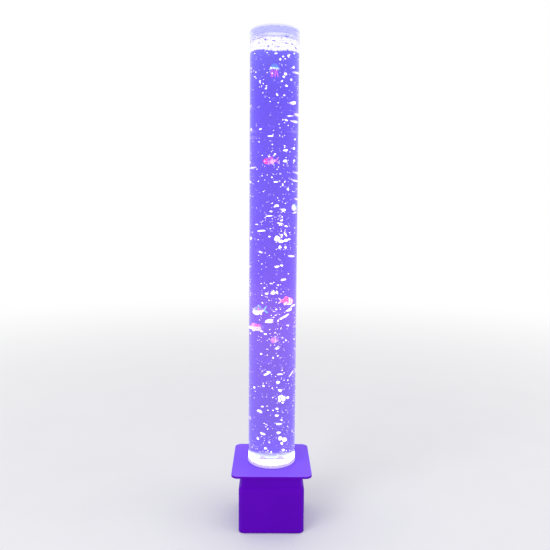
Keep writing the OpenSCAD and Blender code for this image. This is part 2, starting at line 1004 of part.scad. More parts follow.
module pump_coils() {
    coil_w = core_leg + 2 * coil_wall;
    color([0.72, 0.36, 0.12])
        in_pump()
            for (side = [-1, 1])
                translate([side * pole_x, core_y + core_leg + 1, core_z + core_t / 2])
                    rotate([-90, 0, 0])
                        difference() {
                            linear_extrude(coil_len)
                                rounded_rect(coil_w - 0.4, core_t + 2 * coil_wall, 3);
                            translate([0, 0, -skin])
                                linear_extrude(coil_len + 2 * skin)
                                    square([core_leg + 2 * fit, core_t + 2 * fit], center = true);
                        }
}

module pump_pin() {
    pin_z = tray_floor + 1;
    color("silver")
        in_pump()
            translate([0, pin_y, pin_z])
                cylinder(d = arm_pin_d, h = tray_top - 1 - pin_z);
}

// The swinging arm: an eye on the pin, a flat strip, a push pad and the magnet at its end.
module pump_arm() {
    magnet_y = pole_y + air_gap;
    color([0.55, 0.55, 0.58])
        in_pump()
            difference() {
                union() {
                    translate([0, pin_y, arm_z])
                        cylinder(d = eye_d, h = arm_h);
                    translate([-arm_t / 2, magnet_y + magnet_l - 1, arm_z])
                        cube([arm_t, pin_y - magnet_y - magnet_l + 1, arm_h]);
                    translate([arm_t / 2 - skin, outlet_y, core_z + core_t / 2])
                        rotate([0, 90, 0])
                            cylinder(d = 7, h = pad_t + skin);
                    translate([-magnet_w / 2, magnet_y, core_z])
                        cube([magnet_w, magnet_l, core_t]);
                }
                translate([0, pin_y, arm_z - skin])
                    cylinder(d = arm_pin_d + 2 * run, h = arm_h + 2 * skin);
            }
}

// A rubber bellows with three folds between the push pad and the valve block.
module pump_bellows() {
    fold = (valve_x - bellows_x) / 3;
    color([0.10, 0.10, 0.10])
        in_pump()
            translate([bellows_x, outlet_y, core_z + core_t / 2])
                rotate([0, 90, 0])
                    for (i = [0:2])
                        translate([0, 0, i * fold]) {
                            cylinder(d1 = 12, d2 = 17, h = fold / 2);
                            translate([0, 0, fold / 2])
                                cylinder(d1 = 17, d2 = 12, h = fold / 2);
                        }
}

// The block that holds the valves, with the outlet barb rising through the pump's cover.
module valve_block() {
    stem_z = tray_floor + valve_h;
    color([0.62, 0.62, 0.68])
        in_pump()
            difference() {
                union() {
                    translate([valve_x, outlet_y - valve_l / 2, tray_floor])
                        cube([valve_w, valve_l, valve_h]);
                    translate([outlet_x, outlet_y, stem_z - skin])
                        cylinder(d = hose_od + 2, h = outlet_z - stem_z + skin);
                    translate([outlet_x, outlet_y, outlet_z])
                        barb();
                }
                translate([outlet_x, outlet_y, tray_floor + valve_h / 2])
                    cylinder(d = 1.8, h = outlet_z + barb_len);
            }
}

// ---- air line ----

// A one-way valve: two cups joined by a flange, a barb at each end.
module check_valve() {
    color([0.88, 0.88, 0.92])
        translate([0, 0, check_z]) {
            rotate_extrude()
                polygon([[0, 0], [check_d / 2 - 2, 0], [check_d / 2, 2], [check_d / 2, check_h / 2 - 1],
                    [check_d / 2 + 1, check_h / 2 - 1], [check_d / 2 + 1, check_h / 2 + 1],
                    [check_d / 2, check_h / 2 + 1], [check_d / 2, check_h - 2],
                    [check_d / 2 - 2, check_h], [0, check_h]]);
            translate([0, 0, check_h])
                barb();
            mirror([0, 0, 1])
                barb();
        }
}

// One inlet below and an outlet above for each nozzle.
module air_splitter() {
    color([0.88, 0.88, 0.92])
        translate([0, 0, splitter_z]) {
            linear_extrude(splitter_h)
                rounded_rect(nozzle_pitch + splitter_w, splitter_w, splitter_w / 2 - 0.01);
            mirror([0, 0, 1])
                barb();
            nozzle_places()
                translate([0, 0, splitter_h])
                    barb();
        }
}

module air_hoses() {
    color([0.85, 0.90, 0.95])  {
        translate([0, 0, outlet_z])
            pipe(hose_od, hose_id, hose_len);
        translate([0, 0, hose2_z])
            pipe(hose_od, hose_id, hose_len);
        nozzle_places()
            translate([0, 0, splitter_top])
                pipe(hose_od, hose_id, nozzle_shoulder - splitter_top);
    }
}

// ---- wiring ----

function unit(v) = v / norm(v);

// The direction of a route at point i, and a ring of points round it.
function heading(p, i) = unit(p[min(i + 1, len(p) - 1)] - p[max(i - 1, 0)]);
function side_of(h) = unit(abs(h.z) > 0.8 ? cross(h, [1, 0, 0]) : cross(h, [0, 0, 1]));
function ring(p, i, r, n) = let (h = heading(p, i), s = side_of(h), u = cross(s, h))
    [for (k = [0:n - 1]) p[i] + r * (s * cos(k * 360 / n) + u * sin(k * 360 / n))];

// A smooth route from a to b that leaves a along u and reaches b from b + w: a cubic curve.
function route(a, u, w, b, steps) = [for (k = [0:steps]) let (t = k / steps)
    pow(1 - t, 3) * a + 3 * pow(1 - t, 2) * t * (a + u) + 3 * (1 - t) * t * t * (b + w) + pow(t, 3) * b];

// A closed skin over rings of n points each.
module skin_over(rings) {
    n = len(rings[0]);
    m = len(rings);
    points = [for (r = rings, p = r) p];
    sides = [for (i = [0:m - 2], k = [0:n - 1], f = [0, 1])
        let (a = i * n + k, b = i * n + (k + 1) % n)
        f == 0 ? [a, a + n, b] : [b, a + n, b + n]];
    first = [for (k = [0:n - 1]) k];
    last = [for (k = [n - 1:-1:0]) (m - 1) * n + k];
    polyhedron(points, concat(sides, [first], [last]));
}

// A round lead along a route.
module lead(points) {
    skin_over([for (i = [0:len(points) - 1]) ring(points, i, lead_d / 2, 8)]);
}

// Leads from the board's plug sockets to the power socket, the switch and the light board.
module wiring() {
    start = [board_x - board_w / 2 + 4, board_y, board_z + pcb_t + 1 + seat];
    step_y = [0, plug_dy, 0];
    up = [0, 0, lead_rise];
    tag_z = controls_z + tag_t / 2 + seat;
    tag_y = house_w / 2 - tag_l / 2;
    color([0.80, 0.10, 0.10]) {
        lead(route(start, up, up, [jack_x - 2.5, tag_y - jack_len, tag_z], 16));
        lead(route(start + step_y, up, up, [button_x + 4, tag_y - switch_len, tag_z], 16));
        lead(route(start - step_y, up, -up, [lead_end_x, lead_end_y, led_board_z - seat], 16));
    }
}

// ---- creatures ----

// Relative half height of a fish from its nose, t = 0, to the root of its tail, t = 1.
function girth(t) = 0.08 * (1 - t) + 0.22 * t + 0.9 * pow(sin(180 * pow(t, 0.72)), 1.1);

// A fish along X with its nose at -x: lofted body, forked tail, back, belly and side fins.
module fish(l, h, t, tail_h, fin_h) {
    stations = 12;
    body_l = 0.80 * l;
    skin_over([for (i = [0:stations]) [for (k = [0:11])
        [-l / 2 + body_l * i / stations, t / 2 * girth(i / stations) * cos(30 * k),
            h / 2 * girth(i / stations) * sin(30 * k)]]]);
    rotate([90, 0, 0])
        linear_extrude(fin_t, center = true) {
            polygon([[0.26 * l, -0.09 * h], [0.42 * l, -tail_h / 2], [0.5 * l, -tail_h / 2],
                [0.42 * l, 0], [0.5 * l, tail_h / 2], [0.42 * l, tail_h / 2], [0.26 * l, 0.09 * h]]);
            polygon([[-0.22 * l, 0.3 * h], [-0.12 * l, 0.46 * h + fin_h * 0.7],
                [0.06 * l, 0.44 * h + fin_h], [0.16 * l, 0.3 * h], [0.12 * l, 0.1 * h]]);
            polygon([[-0.06 * l, -0.3 * h], [0.08 * l, -0.42 * h - fin_h * 0.7],
                [0.14 * l, -0.3 * h], [0.12 * l, -0.1 * h]]);
        }
    for (side = [-1, 1])
        translate([0, side * (t / 2 - fin_t), -0.04 * h])
            rotate([90 + side * 50, 0, 0])
                linear_extrude(fin_t, center = true)
                    polygon([[-0.15 * l, 0.03 * h], [-0.07 * l, 0.05 * h], [0.03 * l, -0.24 * h],
                        [-0.03 * l, -0.32 * h]]);
}

module swimming(x, y, z, turn, tilt) {
    translate([x, y, z])
        rotate([0, tilt, turn])
            children();
}

// A domed bell with a rolled rim over a ring of tapering arms and a thick middle.
module jellyfish() {
    bell_r = jelly_d / 2;
    dome = [for (a = [0:10:90]) [bell_r * sin(a), jelly_h * cos(a)]];
    hollow = [for (a = [90:-10:0]) [(bell_r - 2) * sin(a), (jelly_h - 3) * cos(a) - 0.01]];
    color([0.20, 0.35, 0.95])
        translate([0, 0, jelly_z + (jelly_arm - jelly_h) / 2]) {
            rotate_extrude()
                polygon(concat(dome, hollow));
            translate([0, 0, -jelly_arm * 0.5])
                cylinder(d1 = 2, d2 = bell_r, h = jelly_arm * 0.5 + jelly_h - 2.5);
            for (i = [0:jelly_arms - 1])
                rotate([0, 0, (i + 0.5) * 360 / jelly_arms])
                    translate([bell_r * 0.55, 0, 0])
                        rotate([0, -6, 0])
                            translate([0, 0, -jelly_arm])
                                cylinder(d1 = 1.2, d2 = 3.4, h = jelly_arm + 4);
        }
}

module fish_red() {
    color([0.85, 0.12, 0.35])
        swimming(-4, 0, red_z, 0, -6)
            fish(fish_l * 0.85, fish_h * 0.8, fish_t, fish_h * 0.75, 3);
}

module fish_cyan() {
    color([0.20, 0.80, 0.95])
        swimming(side_lane_x, 2, cyan_z, 90, 4)
            fish(fish_l * 0.9, fish_h * 0.8, fish_t, fish_h * 0.7, 3);
}

module fish_pink() {
    color([0.95, 0.35, 0.60])
        swimming(lane_x, -lane_y, pink_z, 180, -3)
            fish(fish_l, fish_h * 0.88, fish_t, fish_h * 0.7, 3.5);
}

module fish_blue() {
    color([0.15, 0.45, 0.95])
        swimming(-lane_x, -lane_y, blue_z, 0, -9)
            fish(fish_l, fish_h, fish_t, fish_h * 0.85, 4);
}

module fish_white() {
    color([0.95, 0.90, 0.98])
        swimming(-lane_x, lane_y, white_z, 180, 5)
            fish(fish_l * 0.93, fish_h * 0.85, fish_t, fish_h * 0.75, 3.5);
}

module fish_coral() {
    color([0.95, 0.50, 0.50])
        swimming(4, 0, coral_z, 60, 0)
            fish(fish_l * 0.78, fish_h * 0.75, fish_t * 0.9, fish_h * 0.6, 2.5);
}

tube();
tube_foot();
foot_seal();
foot_screws();
air_nozzles();
nozzle_nuts();
lid();
top_plate();
plate_screws();
housing();
bottom_cover();
cover_screws();
rubber_feet();
led_board();
leds();
board_screws();
control_board();
board_parts();
dc_jack();
jack_nut();
button_switch();
button_nut();
mode_button();
pump_mounts();
pump_tray();
pump_cover();
pump_core();
pump_coils();
pump_pin();
pump_arm();
pump_bellows();
valve_block();
check_valve();
air_splitter();
air_hoses();
wiring();
jellyfish();
fish_red();
fish_cyan();
fish_pink();
fish_blue();
fish_white();
fish_coral();
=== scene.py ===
import math

import bpy
import numpy as np
from mathutils import Matrix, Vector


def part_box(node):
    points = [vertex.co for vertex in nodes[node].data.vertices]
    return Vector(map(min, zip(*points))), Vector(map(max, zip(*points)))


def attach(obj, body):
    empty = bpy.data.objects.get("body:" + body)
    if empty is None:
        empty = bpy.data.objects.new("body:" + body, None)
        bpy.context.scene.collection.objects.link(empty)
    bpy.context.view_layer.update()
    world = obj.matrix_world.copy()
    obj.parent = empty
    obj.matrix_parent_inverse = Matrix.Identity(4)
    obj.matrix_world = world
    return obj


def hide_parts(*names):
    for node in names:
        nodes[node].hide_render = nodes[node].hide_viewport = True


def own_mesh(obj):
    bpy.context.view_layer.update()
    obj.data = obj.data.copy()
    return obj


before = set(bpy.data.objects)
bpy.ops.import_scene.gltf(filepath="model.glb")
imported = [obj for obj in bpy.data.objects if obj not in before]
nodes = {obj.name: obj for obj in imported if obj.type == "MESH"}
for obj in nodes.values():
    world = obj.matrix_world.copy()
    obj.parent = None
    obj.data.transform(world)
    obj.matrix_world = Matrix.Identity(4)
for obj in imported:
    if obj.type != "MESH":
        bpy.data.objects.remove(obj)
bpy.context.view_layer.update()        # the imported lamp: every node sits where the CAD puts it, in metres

print("bubble lamp: frame loaded,", len(nodes), "nodes")

mm = 0.001
white = (1.0, 1.0, 1.0, 1.0)

# Sizes of the water column that several pieces share, in millimetres.
column = {"outer": 50.0, "inner": 47.0, "floor": 136.0, "top": 1020.0, "water": 1000.0}


# Linear light from a hex colour: c / 12.92 near black, else ((c + 0.055) / 1.055) to the power 2.4.
def hexToLinear(code):
    c = np.array([int(code[i:i + 2], 16) for i in (1, 3, 5)]) / 255.0
    linear = np.where(c <= 0.04045, c / 12.92, ((c + 0.055) / 1.055) ** 2.4)
    return (*linear.tolist(), 1.0)


# A socket itself, or a node's first output.
def socketOf(source):
    return source.outputs[0] if hasattr(source, "outputs") else source


# Adds one node. Settings go to its sockets where it has them, else to its properties.
def addNode(tree, kind, settings=None, links=None):
    node = tree.nodes.new("ShaderNode" + kind)
    for key, value in (settings or {}).items():
        if isinstance(key, int) or key in node.inputs:
            node.inputs[key].default_value = value
        else:
            setattr(node, key, value)
    for key, source in (links or {}).items():
        tree.links.new(socketOf(source), node.inputs[key])
    return node


# A new material, its nodes, its shader's sockets and the Object coordinates that its patterns read.
# What is the same all over goes on the shader's own sockets.
def newFinish(name, settings):
    finish = bpy.data.materials.new(name)
    finish.use_nodes = True
    tree = finish.node_tree
    sockets = tree.nodes["Principled BSDF"].inputs
    for key, value in settings.items():
        sockets[key].default_value = value
    return finish, tree, sockets, addNode(tree, "TexCoord").outputs["Object"]


# Ends a finish: its tone, or a colour passed in, turns to its shade by a pattern's share. A relief is
# a pattern, a strength and a depth in millimetres.
def completed(finish, s, share, colour=None, rough=None, relief=None, glows=False):
    tree = finish.node_tree
    sockets = tree.nodes["Principled BSDF"].inputs
    tone = addNode(tree, "Mix", {"data_type": "RGBA", 7: hexToLinear(s["shade"])}, {0: share})
    if colour is None:
        tone.inputs[6].default_value = hexToLinear(s["tone"])
    else:
        tree.links.new(colour, tone.inputs[6])
    for name in ("Base Color", "Emission Color") if glows else ("Base Color",):
        tree.links.new(tone.outputs[2], sockets[name])
    if rough is not None:
        tree.links.new(socketOf(rough), sockets["Roughness"])
    if relief is not None:
        pattern, strength, deepMm = relief
        bump = addNode(tree, "Bump", {"Strength": strength, "Distance": deepMm * mm}, {"Height": pattern})
        tree.links.new(bump.outputs["Normal"], sockets["Normal"])
    return finish


# Object coordinates in metres, so that 1 / size in metres is the scale of a pattern of that size.
def perMetre(sizeMm):
    return 1000.0 / sizeMm


# A colour that changes with height: stops are heights in millimetres, with the height in metres as
# factor.
def byHeight(tree, height, stops):
    ramp = addNode(tree, "ValToRGB", None, {0: height})
    points = ramp.color_ramp.elements
    while len(points) < len(stops):
        points.new(0.5)
    for point, (place, code) in zip(points, stops):
        point.position, point.color = place * mm, hexToLinear(code)
    return ramp.outputs["Color"]


# The camera, fitted to the photograph: metres, degrees, and a focal length in pixels of a 550 pixel
# frame.
view = {"place": (-0.0062, -1.164, 0.648), "down": 5.67, "roll": -0.464, "turn": 0.52,
        "focalPixels": 557.0, "framePixels": 550.0, "sensorMm": 36.0}


# The camera's right, up and forward axes: pitched down, turned about Z, then rolled.
def cameraAxes():
    p, r, t = (math.radians(view[k]) for k in ("down", "roll", "turn"))
    flatRight = np.array([math.cos(t), -math.sin(t), 0.0])
    forward = np.array([math.sin(t) * math.cos(p), math.cos(t) * math.cos(p), -math.sin(p)])
    flatUp = np.array([math.sin(t) * math.sin(p), math.cos(t) * math.sin(p), math.cos(p)])
    right = flatRight * math.cos(r) - flatUp * math.sin(r)
    up = flatRight * math.sin(r) + flatUp * math.cos(r)
    return right, up, forward


# The matrix that puts an object at a place with its X, Y and Z along three axes.
def placedAlong(x, y, z, place):
    matrix = np.eye(4)
    matrix[:3] = np.stack([x, y, z, place], -1)
    return Matrix(matrix.tolist())


right, up, forward = cameraAxes()
lens = bpy.data.cameras.new("camera")
lens.lens = view["sensorMm"] * view["focalPixels"] / view["framePixels"]
camera = bpy.data.objects.new("camera", lens)
bpy.context.scene.collection.objects.link(camera)
camera.matrix_world = placedAlong(right, up, -forward, view["place"])
bpy.context.scene.camera = camera
print("camera placed")


# Moulded ABS. Tone drifts softly over patches, and the mould's spark grain breaks the gloss.
# Real grain of 0.3 mm is drawn at grainMm, as coarse as it needs to show.
def mouldedAbs(name, s):
    finish, tree, sockets, at = newFinish(name, {"IOR": 1.53, "Specular IOR Level": s.get("shine", 0.4)})
    patch = addNode(tree, "TexNoise", {"Scale": perMetre(s["patchMm"]), "Detail": 3.0}, {"Vector": at})
    grain = addNode(tree, "TexNoise", {"Scale": perMetre(s["grainMm"]), "Detail": 2.0}, {"Vector": at})
    rough = addNode(tree, "MapRange", {"To Min": s["rough"] - 0.07, "To Max": s["rough"] + 0.07},
                    {"Value": grain})
    completed(finish, s, patch, rough=rough, relief=(grain, 0.35, s["grainDeepMm"]))
    # Painted light: above a height the tone turns lighter, standing in for the glowing column's light.
    if "litTone" in s:      # what is near the lit column, above a height, takes a lighter tone
        high = addNode(tree, "SeparateXYZ", None, {0: at})
        lit = addNode(tree, "MapRange", {"From Min": s["litFrom"] * mm, "From Max": s["litTo"] * mm},
                      {"Value": high.outputs["Z"]})
        light = addNode(tree, "Mix", {"data_type": "RGBA", 6: hexToLinear(s["litTone"]),
                                      7: hexToLinear(s["litShade"])}, {0: patch})
        both = addNode(tree, "Mix", {"data_type": "RGBA"},
                       {0: lit, 6: sockets["Base Color"].links[0].from_socket, 7: light.outputs[2]})
        tree.links.new(both.outputs[2], sockets["Base Color"])
    return finish


# Metal, plated or rolled: fine lines along one axis and faint cloudy wear change its gloss.
def brightMetal(name, s):
    finish, tree, sockets, at = newFinish(name, {"Metallic": 1.0})
    stretch = addNode(tree, "Mapping", {"Scale": s["lines"]}, {"Vector": at})
    lines = addNode(tree, "TexNoise", {"Scale": perMetre(s["lineMm"]), "Detail": 4.0}, {"Vector": stretch})
    wear = addNode(tree, "TexNoise", {"Scale": perMetre(3.0), "Detail": 2.0}, {"Vector": at})
    rough = addNode(tree, "MapRange", {"To Min": s["rough"] * 0.6, "To Max": s["rough"] * 1.5},
                    {"Value": lines})
    return completed(finish, s, wear, rough=rough, relief=(lines, 0.2, 0.05))


# Moulded rubber: matt, with a little pale bloom in soft clouds and a fine tooth.
def mattRubber(name, s):
    finish, tree, sockets, at = newFinish(name, {"IOR": 1.52, "Specular IOR Level": 0.25})
    bloom = addNode(tree, "TexNoise", {"Scale": perMetre(6.0), "Detail": 5.0, "Roughness": 0.7},
                    {"Vector": at})
    tooth = addNode(tree, "TexNoise", {"Scale": perMetre(0.5), "Detail": 1.0}, {"Vector": at})
    rough = addNode(tree, "MapRange", {"To Min": 0.7, "To Max": 0.95}, {"Value": bloom})
    return completed(finish, s, bloom, rough=rough, relief=(tooth, 0.4, 0.08))


# Circuit board: copper tracks 1.4 mm apart lie under the lacquer as stepped, slightly raised lines.
def lacqueredBoard(name, s):
    finish, tree, sockets, at = newFinish(name, {"IOR": 1.5, "Roughness": 0.3, "Coat Weight": 0.3})
    cells = addNode(tree, "TexVoronoi", {"distance": "MANHATTAN", "feature": "F1", "Scale": perMetre(7.0)},
                    {"Vector": at})
    steps = addNode(tree, "Math", {"operation": "MULTIPLY", 1: 5.0}, {0: cells})
    edge = addNode(tree, "Math", {"operation": "FRACT"}, {0: steps})
    line = addNode(tree, "MapRange", {"From Min": 0.55, "From Max": 0.65}, {"Value": edge})
    return completed(finish, s, line, relief=(line, 0.3, 0.05))


# Enamelled copper wire wound along Y. Turns of 0.35 mm wire are drawn 1.8 mm apart, so that they
# show: Blender's bands repeat every pi / 10 at a scale of 1.
def woundWire(name, s):
    finish, tree, sockets, at = newFinish(name, {"Metallic": 0.8, "Roughness": 0.3, "Coat Weight": 0.4})
    turns = addNode(tree, "TexWave", {"bands_direction": "Y", "Scale": perMetre(1.8) * math.pi / 10,
                                      "Distortion": 0.6, "Detail": 1.0}, {"Vector": at}).outputs["Fac"]
    return completed(finish, s, turns, relief=(turns, 0.8, 0.3))


# Clear cast acrylic: optically plain, with hairline polishing marks that only just dull its gloss.
# The tones go by height, because its top carries the violet light that runs up inside the wall. A
# long way through it looks violet, and so does its gloss at the edges.
def clearAcrylic(name, s):
    finish, tree, sockets, at = newFinish(name, {
        "IOR": 1.49, "Transmission Weight": s["clear"], "Specular Tint": hexToLinear(s["edge"]),
        "Emission Color": hexToLinear(s["glow"]), "Emission Strength": s["glowLevel"]})
    high = addNode(tree, "SeparateXYZ", None, {0: at})
    tree.links.new(byHeight(tree, high.outputs["Z"], s["tones"]), sockets["Base Color"])
    if "soak" in s:
        soak = addNode(tree, "VolumeAbsorption", {"Color": (*s["soak"], 1.0), "Density": s["soakPerMetre"]})
        tree.links.new(soak.outputs[0], tree.nodes["Material Output"].inputs["Volume"])
    stretch = addNode(tree, "Mapping", {"Scale": (1.0, 1.0, 0.06)}, {"Vector": at})
    hairlines = addNode(tree, "TexNoise", {"Scale": perMetre(2.0), "Detail": 3.0}, {"Vector": stretch})
    rough = addNode(tree, "MapRange", {"From Min": 0.45, "From Max": 0.8, "To Min": s["rough"],
                                       "To Max": s["rough"] + 0.05}, {"Value": hairlines})
    tree.links.new(rough.outputs[0], sockets["Roughness"])
    return finish


# Frosted acrylic lit from inside, with its light painted on: it glows, it scatters the lights below it in
# soft mottles, and its tones go by height, painted lighter where the light is.
def litFrostedAcrylic(name, s):
    finish, tree, sockets, at = newFinish(name, {"IOR": 1.49, "Roughness": 0.45,
                                                 "Emission Strength": s["glowLevel"]})
    mottle = addNode(tree, "TexNoise", {"Scale": perMetre(s["mottleMm"]), "Detail": 3.0}, {"Vector": at})
    frost = addNode(tree, "TexNoise", {"Scale": perMetre(0.6), "Detail": 1.0}, {"Vector": at})
    high = addNode(tree, "SeparateXYZ", None, {0: at})
    return completed(finish, s, mottle, colour=byHeight(tree, high.outputs["Z"], s["tones"]),
                     relief=(frost, 0.3, 0.05), glows=True)


# Translucent hose: milky, with long flow lines from the die.
def siliconeHose(name, s):
    finish, tree, sockets, at = newFinish(name, {"IOR": 1.41, "Transmission Weight": 0.5, "Roughness": 0.35})
    stretch = addNode(tree, "Mapping", {"Scale": (1.0, 1.0, 0.1)}, {"Vector": at})
    flow = addNode(tree, "TexNoise", {"Scale": perMetre(1.5), "Detail": 2.0}, {"Vector": stretch})
    return completed(finish, s, flow)


violet = {"tone": "#6202C0", "shade": "#5A02B2", "patchMm": 60, "grainMm": 1.1, "grainDeepMm": 0.12,
          "rough": 0.5, "shine": 0.04}
black = {"tone": "#1B1B20", "shade": "#24242A", "patchMm": 12, "grainMm": 0.7, "grainDeepMm": 0.06,
         "rough": 0.42}
pale = {"tone": "#C9C9D2", "shade": "#BDBDC8", "patchMm": 18, "grainMm": 0.8, "grainDeepMm": 0.08,
        "rough": 0.4}
steel = {"tone": "#C9CBD0", "shade": "#A9ACB3", "lineMm": 0.5, "lines": (1.0, 1.0, 0.1), "rough": 0.26}
acrylic = {"edge": "#8C78FF", "tones": ((1001, "#FFFFFF"), (1004, "#D4D4FF")), "glow": "#A89CFF",
           "glowLevel": 0.0, "rough": 0.0, "clear": 1.0}
# Painted light: frosted parts are white at the top, by the lit floor, and violet lower down.
frosted = {"tones": ((132, "#8E70F0"), (134, "#C9B8FF"), (136, "#FFFFFF")), "shade": "#A88EFF",
           "glowLevel": 0.5, "mottleMm": 4}


# The change of a finish's tone and shade, and of what else is named.
def toned(tone, shade, **more):
    return dict(more, tone=tone, shade=shade)


# Each node's finish: its maker, its name, what it starts from, and what it changes in that.
recipes = {
    "tube": (clearAcrylic, "clearAcrylic", acrylic, {"soak": (0.45, 0.42, 1.0), "soakPerMetre": 34.0}),
    # Painted light: the lid glows faintly lavender, standing in for the column's light.
    "lid": (clearAcrylic, "lidAcrylic", acrylic, {
        "tones": ((1008, "#DADAFF"), (1024, "#E0E2FF")), "glow": "#B0B2FF", "glowLevel": 0.28,
        "rough": 0.12, "clear": 0.6}),
    "tube_foot": (litFrostedAcrylic, "litFrostedAcrylic", frosted, {}),
    "foot_seal": (mattRubber, "greySealRubber", {}, toned("#4A4560", "#5A5573")),
    "foot_screws": (brightMetal, "plainSteel", steel, {}),
    # Painted light and shade: the nozzles glow white at the top and are painted dark at the base.
    "air_nozzles": (litFrostedAcrylic, "litNozzle", frosted, {
        "tones": ((137, "#4030B0"), (140, "#FFFFFF")), "shade": "#C8BCFF", "glowLevel": 5.0}),
    "nozzle_nuts": (brightMetal, "brass", steel, toned("#D9B46A", "#B98F49")),
    # Painted light: the plate's top is painted lighter, as the column lights it.
    "top_plate": (mouldedAbs, "plateAbs", violet, {
        "litTone": "#8D61FC", "litShade": "#8A5CFA", "litFrom": 129.2, "litTo": 130.6}),
    # Painted light: the housing's neck is painted lighter where the plate's shadow falls.
    "housing": (mouldedAbs, "housingAbs", violet, {
        "litTone": "#7003D6", "litShade": "#6603C8", "litFrom": 84, "litTo": 112}),
    "bottom_cover": (mouldedAbs, "coverAbs", violet, toned("#33204A", "#2B1A40")),
    "rubber_feet": (mattRubber, "footRubber", {}, toned("#17171A", "#2A2A2E")),
    "led_board": (lacqueredBoard, "whiteBoard", {}, toned("#F2F2F0", "#DCDCDC")),
    "leds": (litFrostedAcrylic, "lightLens", frosted, {
        "tones": ((119, "#FFF6D8"), (122, "#FFFFFF")), "shade": "#FFF0C8", "glowLevel": 1.0, "mottleMm": 3}),
    "control_board": (lacqueredBoard, "greenBoard", {}, toned("#0E4A26", "#1D6B3A")),
    "board_parts": (mouldedAbs, "darkParts", black, toned("#2A2A30", "#34343C")),
    "dc_jack": (mouldedAbs, "blackNylon", black, {}),
    "jack_nut": (brightMetal, "nickelNut", steel, {}),
    "button_switch": (mouldedAbs, "switchNylon", black, {}),
    "mode_button": (mouldedAbs, "buttonAbs", pale, toned("#D8D6E6", "#CBC8DC", rough=0.3)),
    "pump_mounts": (mattRubber, "mountRubber", {}, toned("#1A1A1C", "#262628")),
    "pump_tray": (mouldedAbs, "pumpAbs", pale, {}),
    "pump_core": (brightMetal, "stackedSteel", steel,
                  toned("#70737A", "#5A5C62", lines=(0.1, 0.1, 1.0), rough=0.45)),
    "pump_coils": (woundWire, "enamelledCopper", {}, toned("#6E2F10", "#C8692A")),
    "pump_arm": (brightMetal, "rolledSteel", steel, toned("#9A9DA4", "#85888F", lines=(1.0, 0.1, 1.0))),
    "pump_bellows": (mattRubber, "bellowsRubber", {}, toned("#141416", "#1F1F22")),
    "valve_block": (mouldedAbs, "valveAbs", pale, toned("#A5A6B0", "#9798A3")),
    "check_valve": (mouldedAbs, "clearValveAbs", pale, toned("#DADBE6", "#CCCEDC", rough=0.25)),
    "air_hoses": (siliconeHose, "siliconeHose", {}, toned("#E6ECF2", "#D3DCE6")),
    "wiring": (mouldedAbs, "redLead", black, toned("#B01818", "#A01414", rough=0.35))}
sameAs = {"plate_screws": "foot_screws", "cover_screws": "foot_screws", "board_screws": "foot_screws",
          "button_nut": "jack_nut", "pump_cover": "pump_tray", "pump_pin": "foot_screws",
          "air_splitter": "check_valve"}
finishOf = {node: maker(name, dict(start, **change)) for node, (maker, name, start, change) in recipes.items()}
for node, twin in sameAs.items():
    finishOf[node] = finishOf[twin]
for node, finish in finishOf.items():
    for slot in nodes[node].material_slots:
        slot.material = finish
print("finishes put on", len(finishOf), "nodes")


# Quads between neighbours of a grid of points: point (i, j) has number i * cols + j.
def gridFaces(rows, cols, closeRows=False, closeCols=False):
    i, j = np.meshgrid(np.arange(rows if closeRows else rows - 1), np.arange(cols if closeCols else cols - 1),
                       indexing="ij")
    i2, j2 = (i + 1) % rows, (j + 1) % cols
    return np.stack([i * cols + j, i2 * cols + j, i2 * cols + j2, i * cols + j2], -1).reshape(-1, 4)


# Triangles from the first and the last ring of a stack to the two points that follow its rings.
def endFans(rows, cols):
    k, last = np.arange(cols), (rows - 1) * cols
    after = (k + 1) % cols
    return np.vstack([np.stack([after, k, 0 * k + rows * cols], -1),
                      np.stack([k + last, after + last, 0 * k + rows * cols + 1], -1)])


# Closes a stack of rings: the grid's quads, and at each end triangles to the middle of the ring.
def closedStack(x, y, z):
    rings = np.stack(np.broadcast_arrays(x, y, z), -1)
    rows, cols = rings.shape[:2]
    points = np.vstack([rings.reshape(-1, 3), rings[0].mean(0), rings[-1].mean(0)])
    return points, gridFaces(rows, cols, closeCols=True).tolist() + endFans(rows, cols).tolist()


# Evenly spaced directions round a circle, in radians.
def roundTurn(count):
    return np.linspace(0, 2 * np.pi, count, endpoint=False)


# The two places of what lies at a radius in a direction: radius cos and radius sin.
def polar(radius, turn):
    return radius * np.cos(turn), radius * np.sin(turn)


# Turns the pair (a, b) by an angle: (a cos - b sin, a sin + b cos).
def turned(a, b, angle):
    return a * np.cos(angle) - b * np.sin(angle), a * np.sin(angle) + b * np.cos(angle)


# Puts closed shapes and their paint into one: later shapes' point numbers are shifted past the
# earlier ones'.
def joined(parts):
    faces, shift = [], 0
    for points, ownFaces, _ in parts:
        faces += [[n + shift for n in face] for face in ownFaces]
        shift += len(points)
    return np.vstack([points for points, _, _ in parts]), faces, np.vstack([paint for _, _, paint in parts])


# A smooth mesh piece in metres from points in millimetres, with its faces turned outwards. It rides on
# a body; its slot is not used. An attribute gives each point a number or a colour.
def addPiece(name, points, faces, body, slot, finish, attributes=None):
    mesh = bpy.data.meshes.new(name)
    mesh.from_pydata((np.asarray(points) * mm).tolist(), [], faces)
    mesh.materials.append(finish)
    for key, values in (attributes or {}).items():
        kind, field = ("FLOAT_VECTOR", "vector") if np.ndim(values) == 2 else ("FLOAT", "value")
        layer = mesh.attributes.new(key, kind, "POINT")
        layer.data.foreach_set(field, np.asarray(values, np.float32).ravel())
    mesh.polygons.foreach_set("use_smooth", np.ones(len(mesh.polygons), bool))
    piece = bpy.data.objects.new(name, mesh)
    bpy.context.scene.collection.objects.link(piece)
    bpy.context.view_layer.objects.active = piece
    bpy.ops.object.mode_set(mode="EDIT")
    bpy.ops.mesh.select_all(action="SELECT")
    bpy.ops.mesh.normals_make_consistent(inside=False)
    bpy.ops.object.mode_set(mode="OBJECT")
    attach(piece, body)
    return piece


# The pump's rubber bellows: folds with sharp ridges and round valleys.
bellows = {"folds": 3, "perFold": 10, "around": 40, "valley": 12.0 / 17.0, "press": 1.5 * mm}


